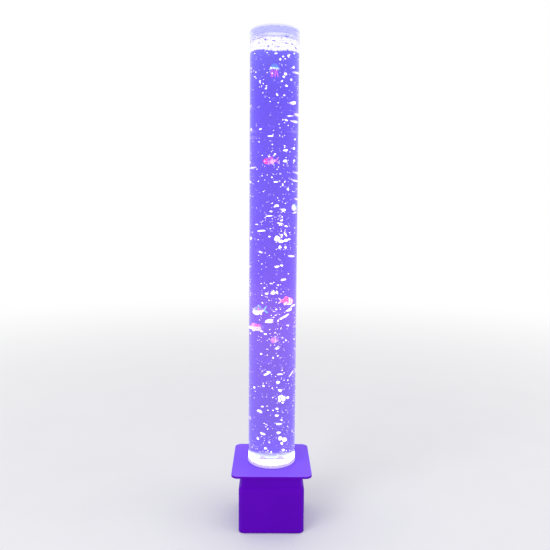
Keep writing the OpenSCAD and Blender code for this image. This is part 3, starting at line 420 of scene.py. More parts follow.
# Rings along X: the radius is valley + (ridge - valley) (1 - |cos(pi folds u)|).
def bellowsShape(s, low, high):
    u = np.linspace(0, 1, s["folds"] * s["perFold"] + 1)[:, None]
    ridge = (high[1] - low[1]) / 2
    radius = ridge * (s["valley"] + (1 - s["valley"]) * (1 - np.abs(np.cos(np.pi * s["folds"] * u))))
    (across, upward), middle = polar(radius, roundTurn(s["around"])), (low + high) / 2
    return closedStack(low[0] + (high[0] - low[0]) * u, middle[1] + across, middle[2] + upward)


low, high = (np.array(corner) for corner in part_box("pump_bellows"))
points, faces = bellowsShape(bellows, low, high)
piece = addPiece("bellowsFolds", points / mm, faces, "root", "bellows_rubber", finishOf["pump_bellows"])
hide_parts("pump_bellows")
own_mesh(piece)
print("bellows made")

# The CAD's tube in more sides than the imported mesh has, so that the water behind it bends light as a
# round wall does.
tubeWall = {"sides": 128, "sharpDegrees": 40}


# Four rings, outer and inner, low and high, closed on themselves.
def tubeShape(sides):
    radius = np.array([column["outer"], column["outer"], column["inner"], column["inner"]])
    height = np.array([column["floor"], column["top"], column["top"], column["floor"]])
    points = np.stack([*polar(radius[:, None], roundTurn(sides)), np.outer(height, np.ones(sides))], -1)
    return points.reshape(-1, 3), gridFaces(4, sides, closeRows=True, closeCols=True).tolist()


points, faces = tubeShape(tubeWall["sides"])
piece = addPiece("tubeWall", points, faces, "root", "clear_acrylic", finishOf["tube"])
piece.data.set_sharp_from_angle(angle=math.radians(tubeWall["sharpDegrees"]))
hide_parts("tube")
print("tube wall made")

# Water fills the tube to its wall. It glows violet and soaks up what shines through it.
water = {"radius": column["inner"] + 0.12, "bottom": column["floor"] + 0.05, "around": 96, "up": 120,
         "tones": ((140, "#C5A5FF"), (180, "#B691FF"), (330, "#BA8FFF"), (450, "#C891FF"), (540, "#AC7EFF"),
                   (680, "#A27EFF"), (900, "#9577FF"), (985, "#A396FF")),
         "glowLevel": 0.46, "soak": (0.07, 0.0, 0.754), "soakPerMetre": 54.0, "ripple": 0.5,
         "overTop": 24, "cloudMm": 40.0, "cloudShift": 0.1}


# Lit water: clear to look through, violet by its own glow, whose tones go by height. A soft cloud
# shifts the height by up to half of cloudShift, in metres.
def litWater(s):
    finish, tree, sockets, at = newFinish("litWater", {
        "Base Color": white, "IOR": 1.333, "Transmission Weight": 1.0, "Roughness": 0.0,
        "Emission Strength": s["glowLevel"]})
    high = addNode(tree, "SeparateXYZ", None, {0: at})
    cloud = addNode(tree, "TexNoise", {"Scale": perMetre(s["cloudMm"]), "Detail": 2.0}, {"Vector": at})
    shift = addNode(tree, "Math", {"operation": "MULTIPLY_ADD", 1: s["cloudShift"], 2: -0.5 * s["cloudShift"]},
                    {0: cloud})
    shifted = addNode(tree, "Math", {"operation": "ADD"}, {0: high.outputs["Z"], 1: shift})
    soak = addNode(tree, "VolumeAbsorption", {"Color": (*s["soak"], 1.0), "Density": s["soakPerMetre"]})
    tree.links.new(byHeight(tree, shifted.outputs[0], s["tones"]), sockets["Emission Color"])
    tree.links.new(soak.outputs[0], tree.nodes["Material Output"].inputs["Volume"])
    return finish


# Rings of one radius up the wall, then smaller and smaller ones over the top, whose height ripples
# with sines across X and Y that fade out at the wall.
def waterShape(s):
    rim = np.cos(np.linspace(0, np.pi / 2, s["overTop"] + 2)[1:-1])
    radius = np.concatenate([np.full(s["up"], 1.0), rim]) * s["radius"]
    height = np.append(np.linspace(s["bottom"], column["water"], s["up"]), 0 * rim + column["water"])
    x, y = polar(radius[:, None], roundTurn(s["around"]))
    inside = 1 - (radius / s["radius"]) ** 6
    wave = np.sin(x * 0.31 + 1.2) * np.cos(y * 0.27) + 0.5 * np.sin(x * 0.13 - y * 0.4)
    return closedStack(x, y, height[:, None] + s["ripple"] * wave * inside[:, None])


addPiece("water", *waterShape(water), "root", "clear_acrylic", litWater(water))
print("water filled")

# The twelve lights under the frosted floor make a bright pool on it, seen down through the water.
pool = {"radius": 46.9, "low": 136.1, "high": 136.5, "around": 64, "glowLevel": 34.0,
        "tones": ((136.0, "#D2FFFF"), (137.0, "#D2FFFF")), "shade": "#C8FFF4", "mottleMm": 12,
        "seamAt": 6.0, "seamWidth": 6.0, "seamTone": "#303C3C"}


# The floor is moulded, and its seam runs across between the nozzles as a darker line: its share
# falls from 1 to 0 around half its width from the seam's middle.
def litPool(s):
    finish = litFrostedAcrylic("litPool", s)
    tree = finish.node_tree
    glow = tree.nodes["Principled BSDF"].inputs["Emission Color"]
    at = addNode(tree, "SeparateXYZ", None, {0: addNode(tree, "TexCoord").outputs["Object"]})
    away = addNode(tree, "Math", {"operation": "SUBTRACT", 1: s["seamAt"] * mm}, {0: at.outputs["Y"]})
    gap = addNode(tree, "Math", {"operation": "ABSOLUTE"}, {0: away})
    share = addNode(tree, "MapRange", {"From Min": 0.3 * s["seamWidth"] * mm, "To Min": 1.0,
                                       "From Max": 0.7 * s["seamWidth"] * mm, "To Max": 0.0}, {"Value": gap})
    tone = addNode(tree, "Mix", {"data_type": "RGBA", 7: hexToLinear(s["seamTone"])},
                   {0: share, 6: glow.links[0].from_socket})
    tree.links.new(tone.outputs[2], glow)
    return finish


# A thin disc with a rounded edge: rings that grow, turn over and shrink again.
def discShape(s):
    low, high = s["low"], s["high"]
    radius = np.array([0.02, 0.5, 0.98, 1.0, 0.98, 0.5, 0.02])[:, None] * s["radius"]
    height = np.array([low, low, low, (low + high) / 2, high, high, high])[:, None]
    return closedStack(*polar(radius, roundTurn(s["around"])), height)


addPiece("lightPool", *discShape(pool), "root", "frosted_acrylic", litPool(pool))

# Cement squeezes out in a fine bead where the tube stands on its foot. Its faint lavender glow, lighter
# towards the top, is painted light.
bead = {"radius": 50.15, "height": 136.15, "thick": 0.55, "around": 96, "section": 8,
        "tones": ((135, "#A894F2"), (137, "#C4B4FA")), "glow": "#A48CF4", "glowLevel": 0.1, "rough": 0.15,
        "clear": 0.3, "edge": "#8C78FF"}


# A ring of round section that swells and thins a little on its way round.
def beadShape(s):
    turn, around = roundTurn(s["around"])[:, None], roundTurn(s["section"])
    thick = s["thick"] * (1 + 0.18 * np.sin(7 * turn) + 0.1 * np.sin(17 * turn + 1))
    out, upward = polar(thick, around)
    points = np.stack([*polar(s["radius"] + out, turn), s["height"] + upward], -1).reshape(-1, 3)
    return points, gridFaces(s["around"], s["section"], closeRows=True, closeCols=True).tolist()


addPiece("cementBead", *beadShape(bead), "root", "clear_acrylic", clearAcrylic("cement", bead))
print("light pool and cement bead made")


# Air in lit water mirrors the light, painted on as a white glow, with a painted violet shade where a
# bubble is shaded.
def litAir(name, s):
    finish, tree, sockets, at = newFinish(name, {"IOR": 1.33, "Roughness": 0.2,
                                                 "Emission Strength": s["glowLevel"]})
    shaded = addNode(tree, "Attribute", {"attribute_name": "shaded"})
    mottle = addNode(tree, "TexNoise", {"Scale": perMetre(s["mottleMm"]), "Detail": 1.0}, {"Vector": at})
    share = addNode(tree, "Math", {"operation": "MULTIPLY_ADD", 1: s["contrast"], 2: -0.5 * s["contrast"]},
                    {0: mottle})
    both = addNode(tree, "Math", {"operation": "ADD", "use_clamp": True}, {0: share, 1: shaded.outputs["Fac"]})
    return completed(finish, s, both, glows=True)


# Many wobbly ellipsoids at once. Each is a unit ball of latitudes and longitudes, scaled by its
# half sizes (across, in depth, up), tilted in the upright plane that it faces, and turned to face
# along its own direction.
def manyBubbles(group, s):
    centres, halves, tilts, facing = group
    rows, cols = s["rows"], s["cols"]
    lat, lon = np.linspace(0, np.pi, rows + 2)[1:-1], roundTurn(cols)
    ball = np.stack([np.outer(np.sin(lat), np.cos(lon)), np.outer(np.sin(lat), np.sin(lon)),
                     np.outer(np.cos(lat), np.ones(cols))], -1).reshape(-1, 3)
    ball = np.vstack([ball, [0, 0, 1], [0, 0, -1]])
    phase = np.random.default_rng(s["seed"]).uniform(0, 2 * np.pi, (len(centres), 1, 2))
    wobble = 1 + 0.12 * np.sin(3 * ball[None, :, :1] + phase[..., :1]) + 0.10 * np.sin(
        4 * ball[None, :, 2:] + phase[..., 1:])
    local = ball[None] * halves[:, None, :] * wobble
    across, upward = turned(local[..., 0], local[..., 2], tilts[:, None])
    outX, outY = turned(local[..., 1], across, facing[:, None])
    points = centres[:, None, :] + np.stack([outX, outY, upward], -1)
    step = (np.arange(len(centres)) * len(ball))[:, None, None]
    quads = (gridFaces(rows, cols, closeCols=True)[None] + step).reshape(-1, 4)
    fans = (endFans(rows, cols)[None] + step).reshape(-1, 3)
    return points.reshape(-1, 3), quads.tolist() + fans.tolist()


# A piece of many bubbles. Each bubble has one number that says how far it is shaded.
def addBubbles(name, group, s, slot, shaded):
    points, faces = manyBubbles(group, s)
    addPiece(name, points, faces, "root", slot, litAir(name + "Air", s),
             attributes={"shaded": np.repeat(shaded, s["rows"] * s["cols"] + 2)})
    print(name + ":", len(shaded))


# Where a pixel's line of sight is once it has gone a depth into the water, and which way it runs.
# The ray meets the round wall, bends there by Snell's law, and then runs straight.
def inWater(px, py, depth):
    half = view["framePixels"] / 2
    sight = (right * (px - half) - up * (py - half)) / view["focalPixels"] + forward
    sight /= np.linalg.norm(sight)
    start = np.array(view["place"]) / mm
    flat = sight[0] ** 2 + sight[1] ** 2
    b = start[0] * sight[0] + start[1] * sight[1]
    gap = start[0] ** 2 + start[1] ** 2 - (column["inner"] + 0.1) ** 2
    hit = start + sight * (-b - math.sqrt(max(b * b - flat * gap, 0.0))) / flat
    normal = np.array([hit[0], hit[1], 0.0]) / math.hypot(hit[0], hit[1])
    ratio, cosIn = 1 / 1.333, -float(sight @ normal)
    bent = ratio * sight + (ratio * cosIn - math.sqrt(1 - ratio ** 2 * (1 - cosIn ** 2))) * normal
    return hit + bent * depth, bent


# Bubbles placed one by one: x and y in the photograph's pixels, width and height in pixels, and a
# tilt in degrees.
marks = (
    (275.9, 53.5, 4, 1.3, -10), (283.1, 56.6, 2, 1.7, 0), (288, 55.9, 2.5, 2.1, 20), (293.7, 53.7, 2, 1.4, 0),
    (280.1, 59.5, 2, 2.1, 30), (293.1, 67.6, 2.5, 3, 20), (296.3, 73.1, 5.7, 2.9, 0), (285.3, 74, 4, 2.3, 20),
    (283.7, 76.9, 2.8, 2.3, 30), (290.8, 79.7, 2.3, 2, 40), (281.7, 81.3, 2.9, 1.4, -35),
    (286.3, 85.9, 3, 2.1, 20), (260.4, 81.2, 2.9, 1.5, -25), (266.1, 88.6, 2.8, 1.4, -25),
    (277.2, 95.2, 2, 1.8, 0), (284.2, 95.5, 2.5, 2, 20), (292.4, 103.1, 8, 3.4, -10), (290, 116, 8, 1.2, -5),
    (296.4, 114.9, 3.6, 4.4, 0), (293.9, 121.7, 7, 3.2, 5), (285.7, 120.1, 5.2, 2, 20),
    (260.8, 129.2, 3.4, 1.8, -15), (270.5, 136.1, 6.3, 1.4, 0), (294.4, 139.4, 2.6, 1.8, -20),
    (293.3, 148.4, 2.8, 2.8, 0), (285.4, 150.2, 6.3, 1.8, -8), (274.9, 154.2, 2.4, 1.7, 0),
    (284.8, 161.1, 4.4, 3.2, 0), (293.6, 160.7, 2.3, 3.2, 0), (253, 167.8, 6.9, 2.2, -4),
    (295.9, 173, 4, 2.6, 10), (295.2, 180.9, 5.2, 2.6, 5), (275.9, 181.9, 4.9, 1.6, 0),
    (282.5, 184.8, 1.7, 3.4, 0), (287.4, 188.8, 2.9, 1.4, -35), (250.9, 181.9, 1.7, 3.6, 20),
    (295.6, 199, 3.1, 2.1, 10), (276.8, 205.7, 6, 2.1, 0), (283.4, 209.7, 5.7, 2.3, 0),
    (271, 211.4, 3.8, 1.6, 0), (294.2, 212.6, 5.2, 1.6, -15), (269, 216, 7.5, 1.3, -5),
    (281.4, 220.6, 3.4, 1.4, 0), (279.8, 223.4, 6.3, 1.6, 10), (257, 224.4, 3.7, 1.4, 5),
    (285.8, 226.3, 4.8, 1.4, 5), (261.6, 230.8, 8.6, 2.1, -5), (277, 238.6, 5.6, 6.2, 20),
    (280.8, 241.6, 5.6, 3, 0), (281.4, 235.2, 4, 2.2, 30), (285.4, 240.4, 6.2, 3, -10),
    (288.8, 239.2, 3, 2, 10), (285.1, 234.3, 1.7, 6.4, -35), (269.6, 236.6, 2.9, 1.6, 0),
    (251.6, 238.2, 2.2, 4.6, 20), (279.9, 247, 4, 3.2, 0), (285.1, 247.2, 2.9, 2.3, -30),
    (261, 252.1, 4, 2.3, 20), (291, 256.1, 6.9, 2.5, 5), (277.1, 266.6, 4.6, 2.9, -15),
    (281.4, 265.4, 3.4, 2.3, 15), (283.4, 279.6, 6.3, 2.5, -10), (264.7, 287.9, 2.5, 1.6, -20),
    (266.8, 293.6, 4.4, 2.3, 0), (273.1, 292.8, 6.5, 4.1, -10), (276.9, 292.4, 1.9, 5, -20),
    (292.2, 305.6, 5.7, 2, -20), (288.6, 309.8, 6.9, 3.2, -25), (284.6, 316.3, 9.8, 2.9, -28),
    (280.6, 318.6, 2.6, 2.1, 0), (269.3, 320.2, 9.6, 2.6, -8), (268.6, 322, 10, 1.8, 0),
    (287.4, 325.3, 2.9, 1.6, 0), (261.7, 331.2, 2.5, 2, 0), (265.5, 333.9, 3, 2.3, 10),
    (285.6, 340.2, 2.1, 2, 0), (277.1, 348.3, 4.6, 2.5, 0), (261.5, 353.8, 2.5, 2.2, 0),
    (273.1, 357.7, 1.8, 2.1, 0), (290.9, 373.4, 9, 1.6, -52), (266.7, 373.9, 8.6, 2, -25),
    (269, 372.3, 5.2, 2.9, 0), (279.9, 374.1, 6.3, 2.1, 0), (277.9, 382.2, 5.2, 3.2, 0),
    (263.6, 385.7, 3.2, 2.3, 35), (254.9, 387.3, 2.3, 2.6, 0), (279.7, 390.2, 5.7, 2.6, 10),
    (280.2, 396.6, 6, 3.4, -25), (283, 398.4, 5, 5.4, 0), (287.4, 397.4, 3.8, 2.6, -15),
    (279.4, 400.4, 4, 3, -30), (282.6, 402.4, 3.4, 2.3, 0), (262.5, 406.4, 3.2, 1.7, 0),
    (259.9, 411.1, 5.7, 3.4, 20), (276.9, 408.5, 3.1, 2.8, 15), (276.8, 415.4, 4, 2.9, 0),
    (279, 423.8, 7.2, 2.2, 0), (263, 433.6, 6.1, 2.7, 20), (278.6, 432.4, 5.1, 2.2, 0),
    (258.1, 438.3, 2.7, 3.2, -30), (280.2, 438.2, 5.2, 4.6, 20), (284.4, 439.4, 4.8, 5.8, -10),
    (281.6, 443.2, 3, 3.4, -25), (282.8, 449.6, 4.8, 1.8, 10), (265.8, 448.1, 4, 2.4, 0))

bubbles = {"seed": 11, "rows": 7, "cols": 12, "glowLevel": 2.0, "tone": "#FFFFFF", "shade": "#6A58E0",
           "mottleMm": 2.6, "contrast": 2.0}
large = {"count": 700, "seed": 13, "low": 150.0, "high": 970.0, "small": 1.0, "large": 3.4, "reach": 7.0,
         "front": -0.25, "chance": 0.4}
fine = {"count": 6400, "seed": 12, "rows": 4, "cols": 6, "low": 146.0, "high": 975.0, "small": 0.35,
        "large": 1.05, "reach": 11.0, "front": -1.0, "glowLevel": 3.2, "tone": "#FFFFFF",
        "shade": "#9C86FF", "mottleMm": 3.0, "contrast": 1.0}


# Each placed bubble lies on its pixel's line of sight, as near to the front wall as its width allows:
# half the chord less the root of (r r - (b + w)(b + w)), with b the line's distance from the axis.
# Half a pixel to the right gives its scale.
def placedBubbles():
    rows = []
    for px, py, wide, tall, tilt in marks:
        hit, bent = inWater(px, py, 0.0)
        level = math.hypot(bent[0], bent[1])
        along, aside = bent[:2] / level, np.array([-bent[1], bent[0]]) / level
        perPixel = 2 * abs(float(aside @ (inWater(px + 0.5, py, 12.0)[0] - inWater(px, py, 12.0)[0])[:2]))
        half = np.array((0.44 * wide * perPixel, 0.7 * min(wide, tall), 0.88 * tall))
        chord, b = -float(hit[:2] @ along), abs(float(hit[:2] @ aside))
        room = (column["inner"] - 0.7) ** 2 - (b + half[0]) ** 2
        at, bent = inWater(px, py, (chord - math.sqrt(max(room, 0.0)) + half[1]) / level)
        rows.append((at, half, math.radians(-tilt), math.atan2(-bent[1], -bent[0])))
    return [np.array(part) for part in zip(*rows)]


# Upright oval lanes in which the creatures swim: x, y, the half sizes across, the lowest and the
# highest point. No loose bubble hangs there.
lanes = ((24, -20, 17.5, 9, 265, 700), (-24, -20, 17.5, 9.5, 245, 680), (-24, 20, 16.5, 9, 200, 640),
         (34, 2, 9, 16.5, 455, 895), (0, 0, 19, 14, 140, 980))


# Random bubbles: most are small and near the wall, with more on the right than on the left, fewer
# at the back, where the round water would draw them out into lines, fewer high up, and more in some
# heights. The large ones are even, and stay behind the front, which has its own.
def looseBubbles(s):
    draw = np.random.default_rng(s["seed"])
    n = s["count"]
    size = s["small"] + (s["large"] - s["small"]) * draw.random(n) ** 3
    radius = column["inner"] - 0.8 - size * 1.9 - s["reach"] * draw.random(n) ** 1.4
    turn = draw.uniform(0, 2 * np.pi, n)
    height = draw.uniform(s["low"], s["high"], n)
    uneven = (0.7 + 0.3 * np.cos(turn)) * (0.6 - 0.4 * np.sin(turn)) * (
        0.7 + 0.3 * np.sin(height / 31.0) * np.sin(height / 83.0 + 1.0)) * (
        0.76 - 0.24 * np.tanh((height - 780.0) / 60.0))
    keep = (draw.random(n) < s.get("chance", uneven)) & (np.sin(turn) > s["front"])
    across, deep = polar(radius, turn)
    for x, y, halfX, halfY, low, high in lanes:
        keep &= (np.hypot((across - x) / halfX, (deep - y) / halfY) > 1) | (height < low) | (height > high)
    halves = np.stack([size * draw.uniform(0.9, 1.9, n), size * 0.8, size * draw.uniform(0.7, 1.2, n)], -1)
    tilts = draw.normal(0, 0.35, n)
    return np.stack([across, deep, height], -1)[keep], halves[keep], tilts[keep], turn[keep]


placed = [np.concatenate(part) for part in zip(placedBubbles(), looseBubbles(large))]
for name, s, group in (("bubbles", bubbles, placed), ("fineBubbles", fine, looseBubbles(fine))):
    shaded = 0.4 * np.random.default_rng(s["seed"]).random(len(group[0])) ** 2
    addBubbles(name, group, s, "clear_acrylic", shaded)

foam = {"count": 2400, "seed": 5, "rows": 5, "cols": 8, "low": 979.5, "high": 1002.5, "rise": 13.0,
        "sag": 6.0, "slope": 3.5, "atWall": 0.72, "glowLevel": 0.8, "tone": "#E6EBFF", "shade": "#5A44D0",
        "mottleMm": 4.0, "contrast": 0.7, "gapDepth": 0.9, "gapShade": 1.4, "shadeSeed": 3}

# Painted violet gaps in the foam: pixels as for the bubbles, but the sizes are in millimetres.
foamGaps = (
    (265.5, 39.7, 2, 2, 0), (274, 36.4, 1.6, 1.2, 20), (273.9, 40.8, 4.4, 1.2, 10), (268.5, 46.4, 2.2, 2, 0),
    (286.3, 36.6, 2.6, 1, 30), (281.5, 38.2, 1.8, 1, 0), (286.3, 43.3, 5, 1, 5), (291.6, 44.3, 3, 1.2, 10),
    (295, 48.3, 4, 1.6, 15), (287.2, 50.4, 2.4, 1.2, 0), (259.5, 43.2, 2.4, 1, -10), (278.5, 46.8, 3, 1, 10))


# Foam: bubbles of 2 to 5 mm, flattened against each other in a layer that is ragged above and below.
# Most of them lie against the wall. The layer sags at the front and slopes down to the sides.
def foamLayer(s):
    draw = np.random.default_rng(s["seed"])
    n = s["count"]
    size = draw.uniform(1.2, 2.8, n)
    outer = column["inner"] - 0.5 - size * 1.15
    radius = np.where(np.arange(n) < s["atWall"] * n, outer, outer * np.sqrt(draw.random(n)))
    turn = draw.uniform(0, 2 * np.pi, n)
    wave = 1.2 * np.sin(2 * turn + 0.6) + 0.9 * np.sin(5 * turn)
    low = s["low"] + wave + size + s["rise"] * (1 - radius / column["inner"]) - s["sag"] * np.maximum(
        0, -np.sin(turn)) ** 2
    high = s["high"] - size - 0.7 * np.abs(wave) - s["slope"] * (1 + np.sin(turn))
    height = low + (high - low) * draw.random(n)
    centres = np.stack([*polar(radius, turn), height], -1)
    return centres, np.stack([size * 1.1, size, size * 0.85], -1), draw.normal(0, 0.3, n), turn


# Gaps are painted shade: flat bubbles in the dark violet shade, right against the wall in front of the
# white ones.
def foamShades(s):
    rows = []
    for px, py, wide, tall, tilt in foamGaps:
        at = inWater(px, py, s["gapDepth"])[0]
        rows.append((at, (wide, 0.5, tall), math.radians(-tilt), math.atan2(at[1], at[0])))
    return [np.array(part) for part in zip(*rows)]


group = [np.concatenate(part) for part in zip(foamShades(foam), foamLayer(foam))]
shaded = np.where(np.arange(len(group[0])) < len(foamGaps), foam["gapShade"],
                  0.6 * np.random.default_rng(foam["shadeSeed"]).random(len(group[0])) ** 8)
addBubbles("foam", group, foam, "frosted_acrylic", shaded)


# Painted soft vinyl: paint laid on by hand, so its tone drifts a little, over a skin of small scales.
# It glows in its own colour: painted light for the lit water shining through it.
def paintedVinyl(name, s):
    finish, tree, sockets, at = newFinish(name, {"IOR": 1.53, "Roughness": 0.35, "Coat Weight": 0.3,
                                                 "Emission Strength": s["glowLevel"]})
    paint = addNode(tree, "Attribute", {"attribute_name": "paint"})
    drift = addNode(tree, "TexNoise", {"Scale": perMetre(3.0), "Detail": 2.0}, {"Vector": at})
    share = addNode(tree, "MapRange", {"From Min": 0.4, "To Max": 0.3}, {"Value": drift})
    scales = addNode(tree, "TexVoronoi", {"Scale": perMetre(s["scaleMm"])}, {"Vector": at})
    return completed(finish, s, share, colour=paint.outputs["Color"], relief=(scales, 0.5, 0.15), glows=True)


# A soft step from 0 to 1 as x goes from a to b: 3 t t - 2 t t t.
def softStep(a, b, x):
    t = np.clip((x - a) / (b - a), 0, 1)
    return t * t * (3 - 2 * t)


# Blends two colours, each a hex code or already an array of colours, by a share for each point.
def blended(first, second, share):
    first, second = (np.array(hexToLinear(c)[:3]) if isinstance(c, str) else c for c in (first, second))
    return first * (1 - share[..., None]) + second * share[..., None]


# A curve from one point to another that leans towards a third: (1-t)(1-t) a + 2 t (1-t) b + t t c.
def leaning(a, b, c, count):
    t = np.linspace(0, 1, count)[:, None]
    return (1 - t) ** 2 * np.array(a) + 2 * t * (1 - t) * np.array(b) + t ** 2 * np.array(c)


# How full the CAD's fish is at a share u of its body: 0.08 (1 - u) + 0.22 u, and 0.9 times the sine
# of pi u to the power 0.72, that to the power 1.1.
def girthAt(u):
    return 0.08 * (1 - u) + 0.22 * u + 0.9 * np.sin(np.pi * u ** 0.72) ** 1.1


# The body: oval rings along X whose size follows the girth, with a groove behind the gill cover and
# a lip at the mouth.
def fishBody(s):
    l, h, t = s["size"]
    u, v = np.linspace(0, 1, 46)[:, None], roundTurn(28)[None]
    groove = 1 - 0.08 * np.exp(-((u - 0.29 + 0.03 * np.sin(v)) / 0.014) ** 2) - 0.2 * np.exp(-(u / 0.02) ** 2)
    across, upward = polar(girthAt(u) * groove, v)
    points, faces = closedStack(-l / 2 + 0.8 * l * u, t / 2 * across, h / 2 * upward)
    along, rise = (points[:, 0] + l / 2) / (0.8 * l), points[:, 2] / (h / 2)
    paint = blended(s["head"], s["back"], softStep(0.24, 0.32, along))
    under = 1 - softStep(s["line"] - 0.15, s["line"] + 0.15, rise)
    paint = blended(paint, s["belly"], under * softStep(s["bellyFrom"] - 0.04, s["bellyFrom"] + 0.04, along))
    for place, width, colour in s["bands"]:
        paint = blended(paint, colour, np.exp(-((along - place - 0.06 * rise ** 2) / width) ** 2))
    return points, faces, paint


# A fin: flat rings from its root to its edge between a leading and a trailing line, thinner towards
# the edge, with raised rays.
def finShape(s, lead, trail, colour, edge):
    rows, around = 11, 18
    a, out = roundTurn(around)[None], np.linspace(0, 1, rows)[:, None]
    front, back = leaning(*lead, rows)[:, None], leaning(*trail, rows)[:, None]
    flat = (front + back) / 2 + (front - back) / 2 * np.cos(a)[..., None]
    thick = s["finThick"] / 2 * (1 - 0.55 * out) * np.sin(a) * (1 + 0.35 * np.cos(14 * np.arccos(np.cos(a))))
    points, faces = closedStack(flat[..., 0], thick, flat[..., 1])
    share = np.append(np.repeat(out[:, 0], around), [0.0, 1.0])
    return points, faces, blended(colour, edge, share ** 1.5)


# A small ball for an eye, white with a dark pupil on the side that looks out.
def eyeShape(centre, radius, side):
    lat, lon = np.linspace(0.2, np.pi - 0.2, 9)[:, None], roundTurn(14)[None]
    x, z = polar(np.sin(lat), lon)
    points, faces = closedStack(x, side * np.cos(lat), z)
    pupil = 1 - softStep(0.60, 0.75, 1 - np.abs(points[:, 1] * side - 1) * 0.9)
    return points * radius + np.array(centre), faces, blended("#08060C", "#FFFFFF", pupil)


# The whole fish, turned and tilted as the CAD does, and moved to its place.
def fishShape(s):
    l, h, t = s["size"]
    tail, fin = s["tail"], s["fin"]
    parts = [fishBody(s)]
    for colours, lead, trail in (
            ("topFin", ((-0.22 * l, 0.26 * h), (-0.14 * l, 0.46 * h + 0.7 * fin), (0.04 * l, 0.44 * h + fin)),
             ((0.17 * l, 0.22 * h), (0.14 * l, 0.4 * h), (0.11 * l, 0.4 * h + 0.8 * fin))),
            ("lowFin", ((-0.06 * l, -0.28 * h), (0.0, -0.42 * h - 0.5 * fin), (0.08 * l, -0.42 * h - 0.7 * fin)),
             ((0.15 * l, -0.2 * h), (0.15 * l, -0.3 * h), (0.13 * l, -0.38 * h - 0.5 * fin)))):
        parts.append(finShape(s, lead, trail, *s[colours]))
    for k in (-1, 1):
        parts.append(finShape(
            s, ((0.25 * l, 0.09 * h * k), (0.33 * l, 0.34 * tail * k), (0.45 * l, 0.5 * tail * k)),
            ((0.27 * l, -0.05 * h * k), (0.4 * l, 0.02 * tail * k), (0.5 * l, 0.5 * tail * k)), *s["tailFin"]))
        points, faces, paint = finShape(
            s, ((-0.15 * l, 0.03 * h), (-0.12 * l, -0.2 * h), (-0.03 * l, -0.32 * h)),
            ((-0.07 * l, 0.05 * h), (0.0, -0.1 * h), (0.03 * l, -0.24 * h)), *s["sideFin"])
        y, z = turned(points[:, 1], points[:, 2], math.radians(50) * k)
        side = np.stack([points[:, 0], y + k * (t / 2 - s["finThick"]), z - 0.04 * h], -1)
        parts.append((side, faces, paint))
        parts.append(eyeShape((-0.38 * l, k * t / 2 * girthAt(0.15) * 0.86, 0.07 * h), 0.085 * h, k))
    points, faces, paint = joined(parts)
    turn, tilt = (math.radians(a) for a in s["facing"])
    z, x = turned(points[:, 2], points[:, 0], tilt)
    x, y = turned(x, points[:, 1], turn)
    return np.stack([x, y, z], -1) + np.array(s["place"]), faces, paint
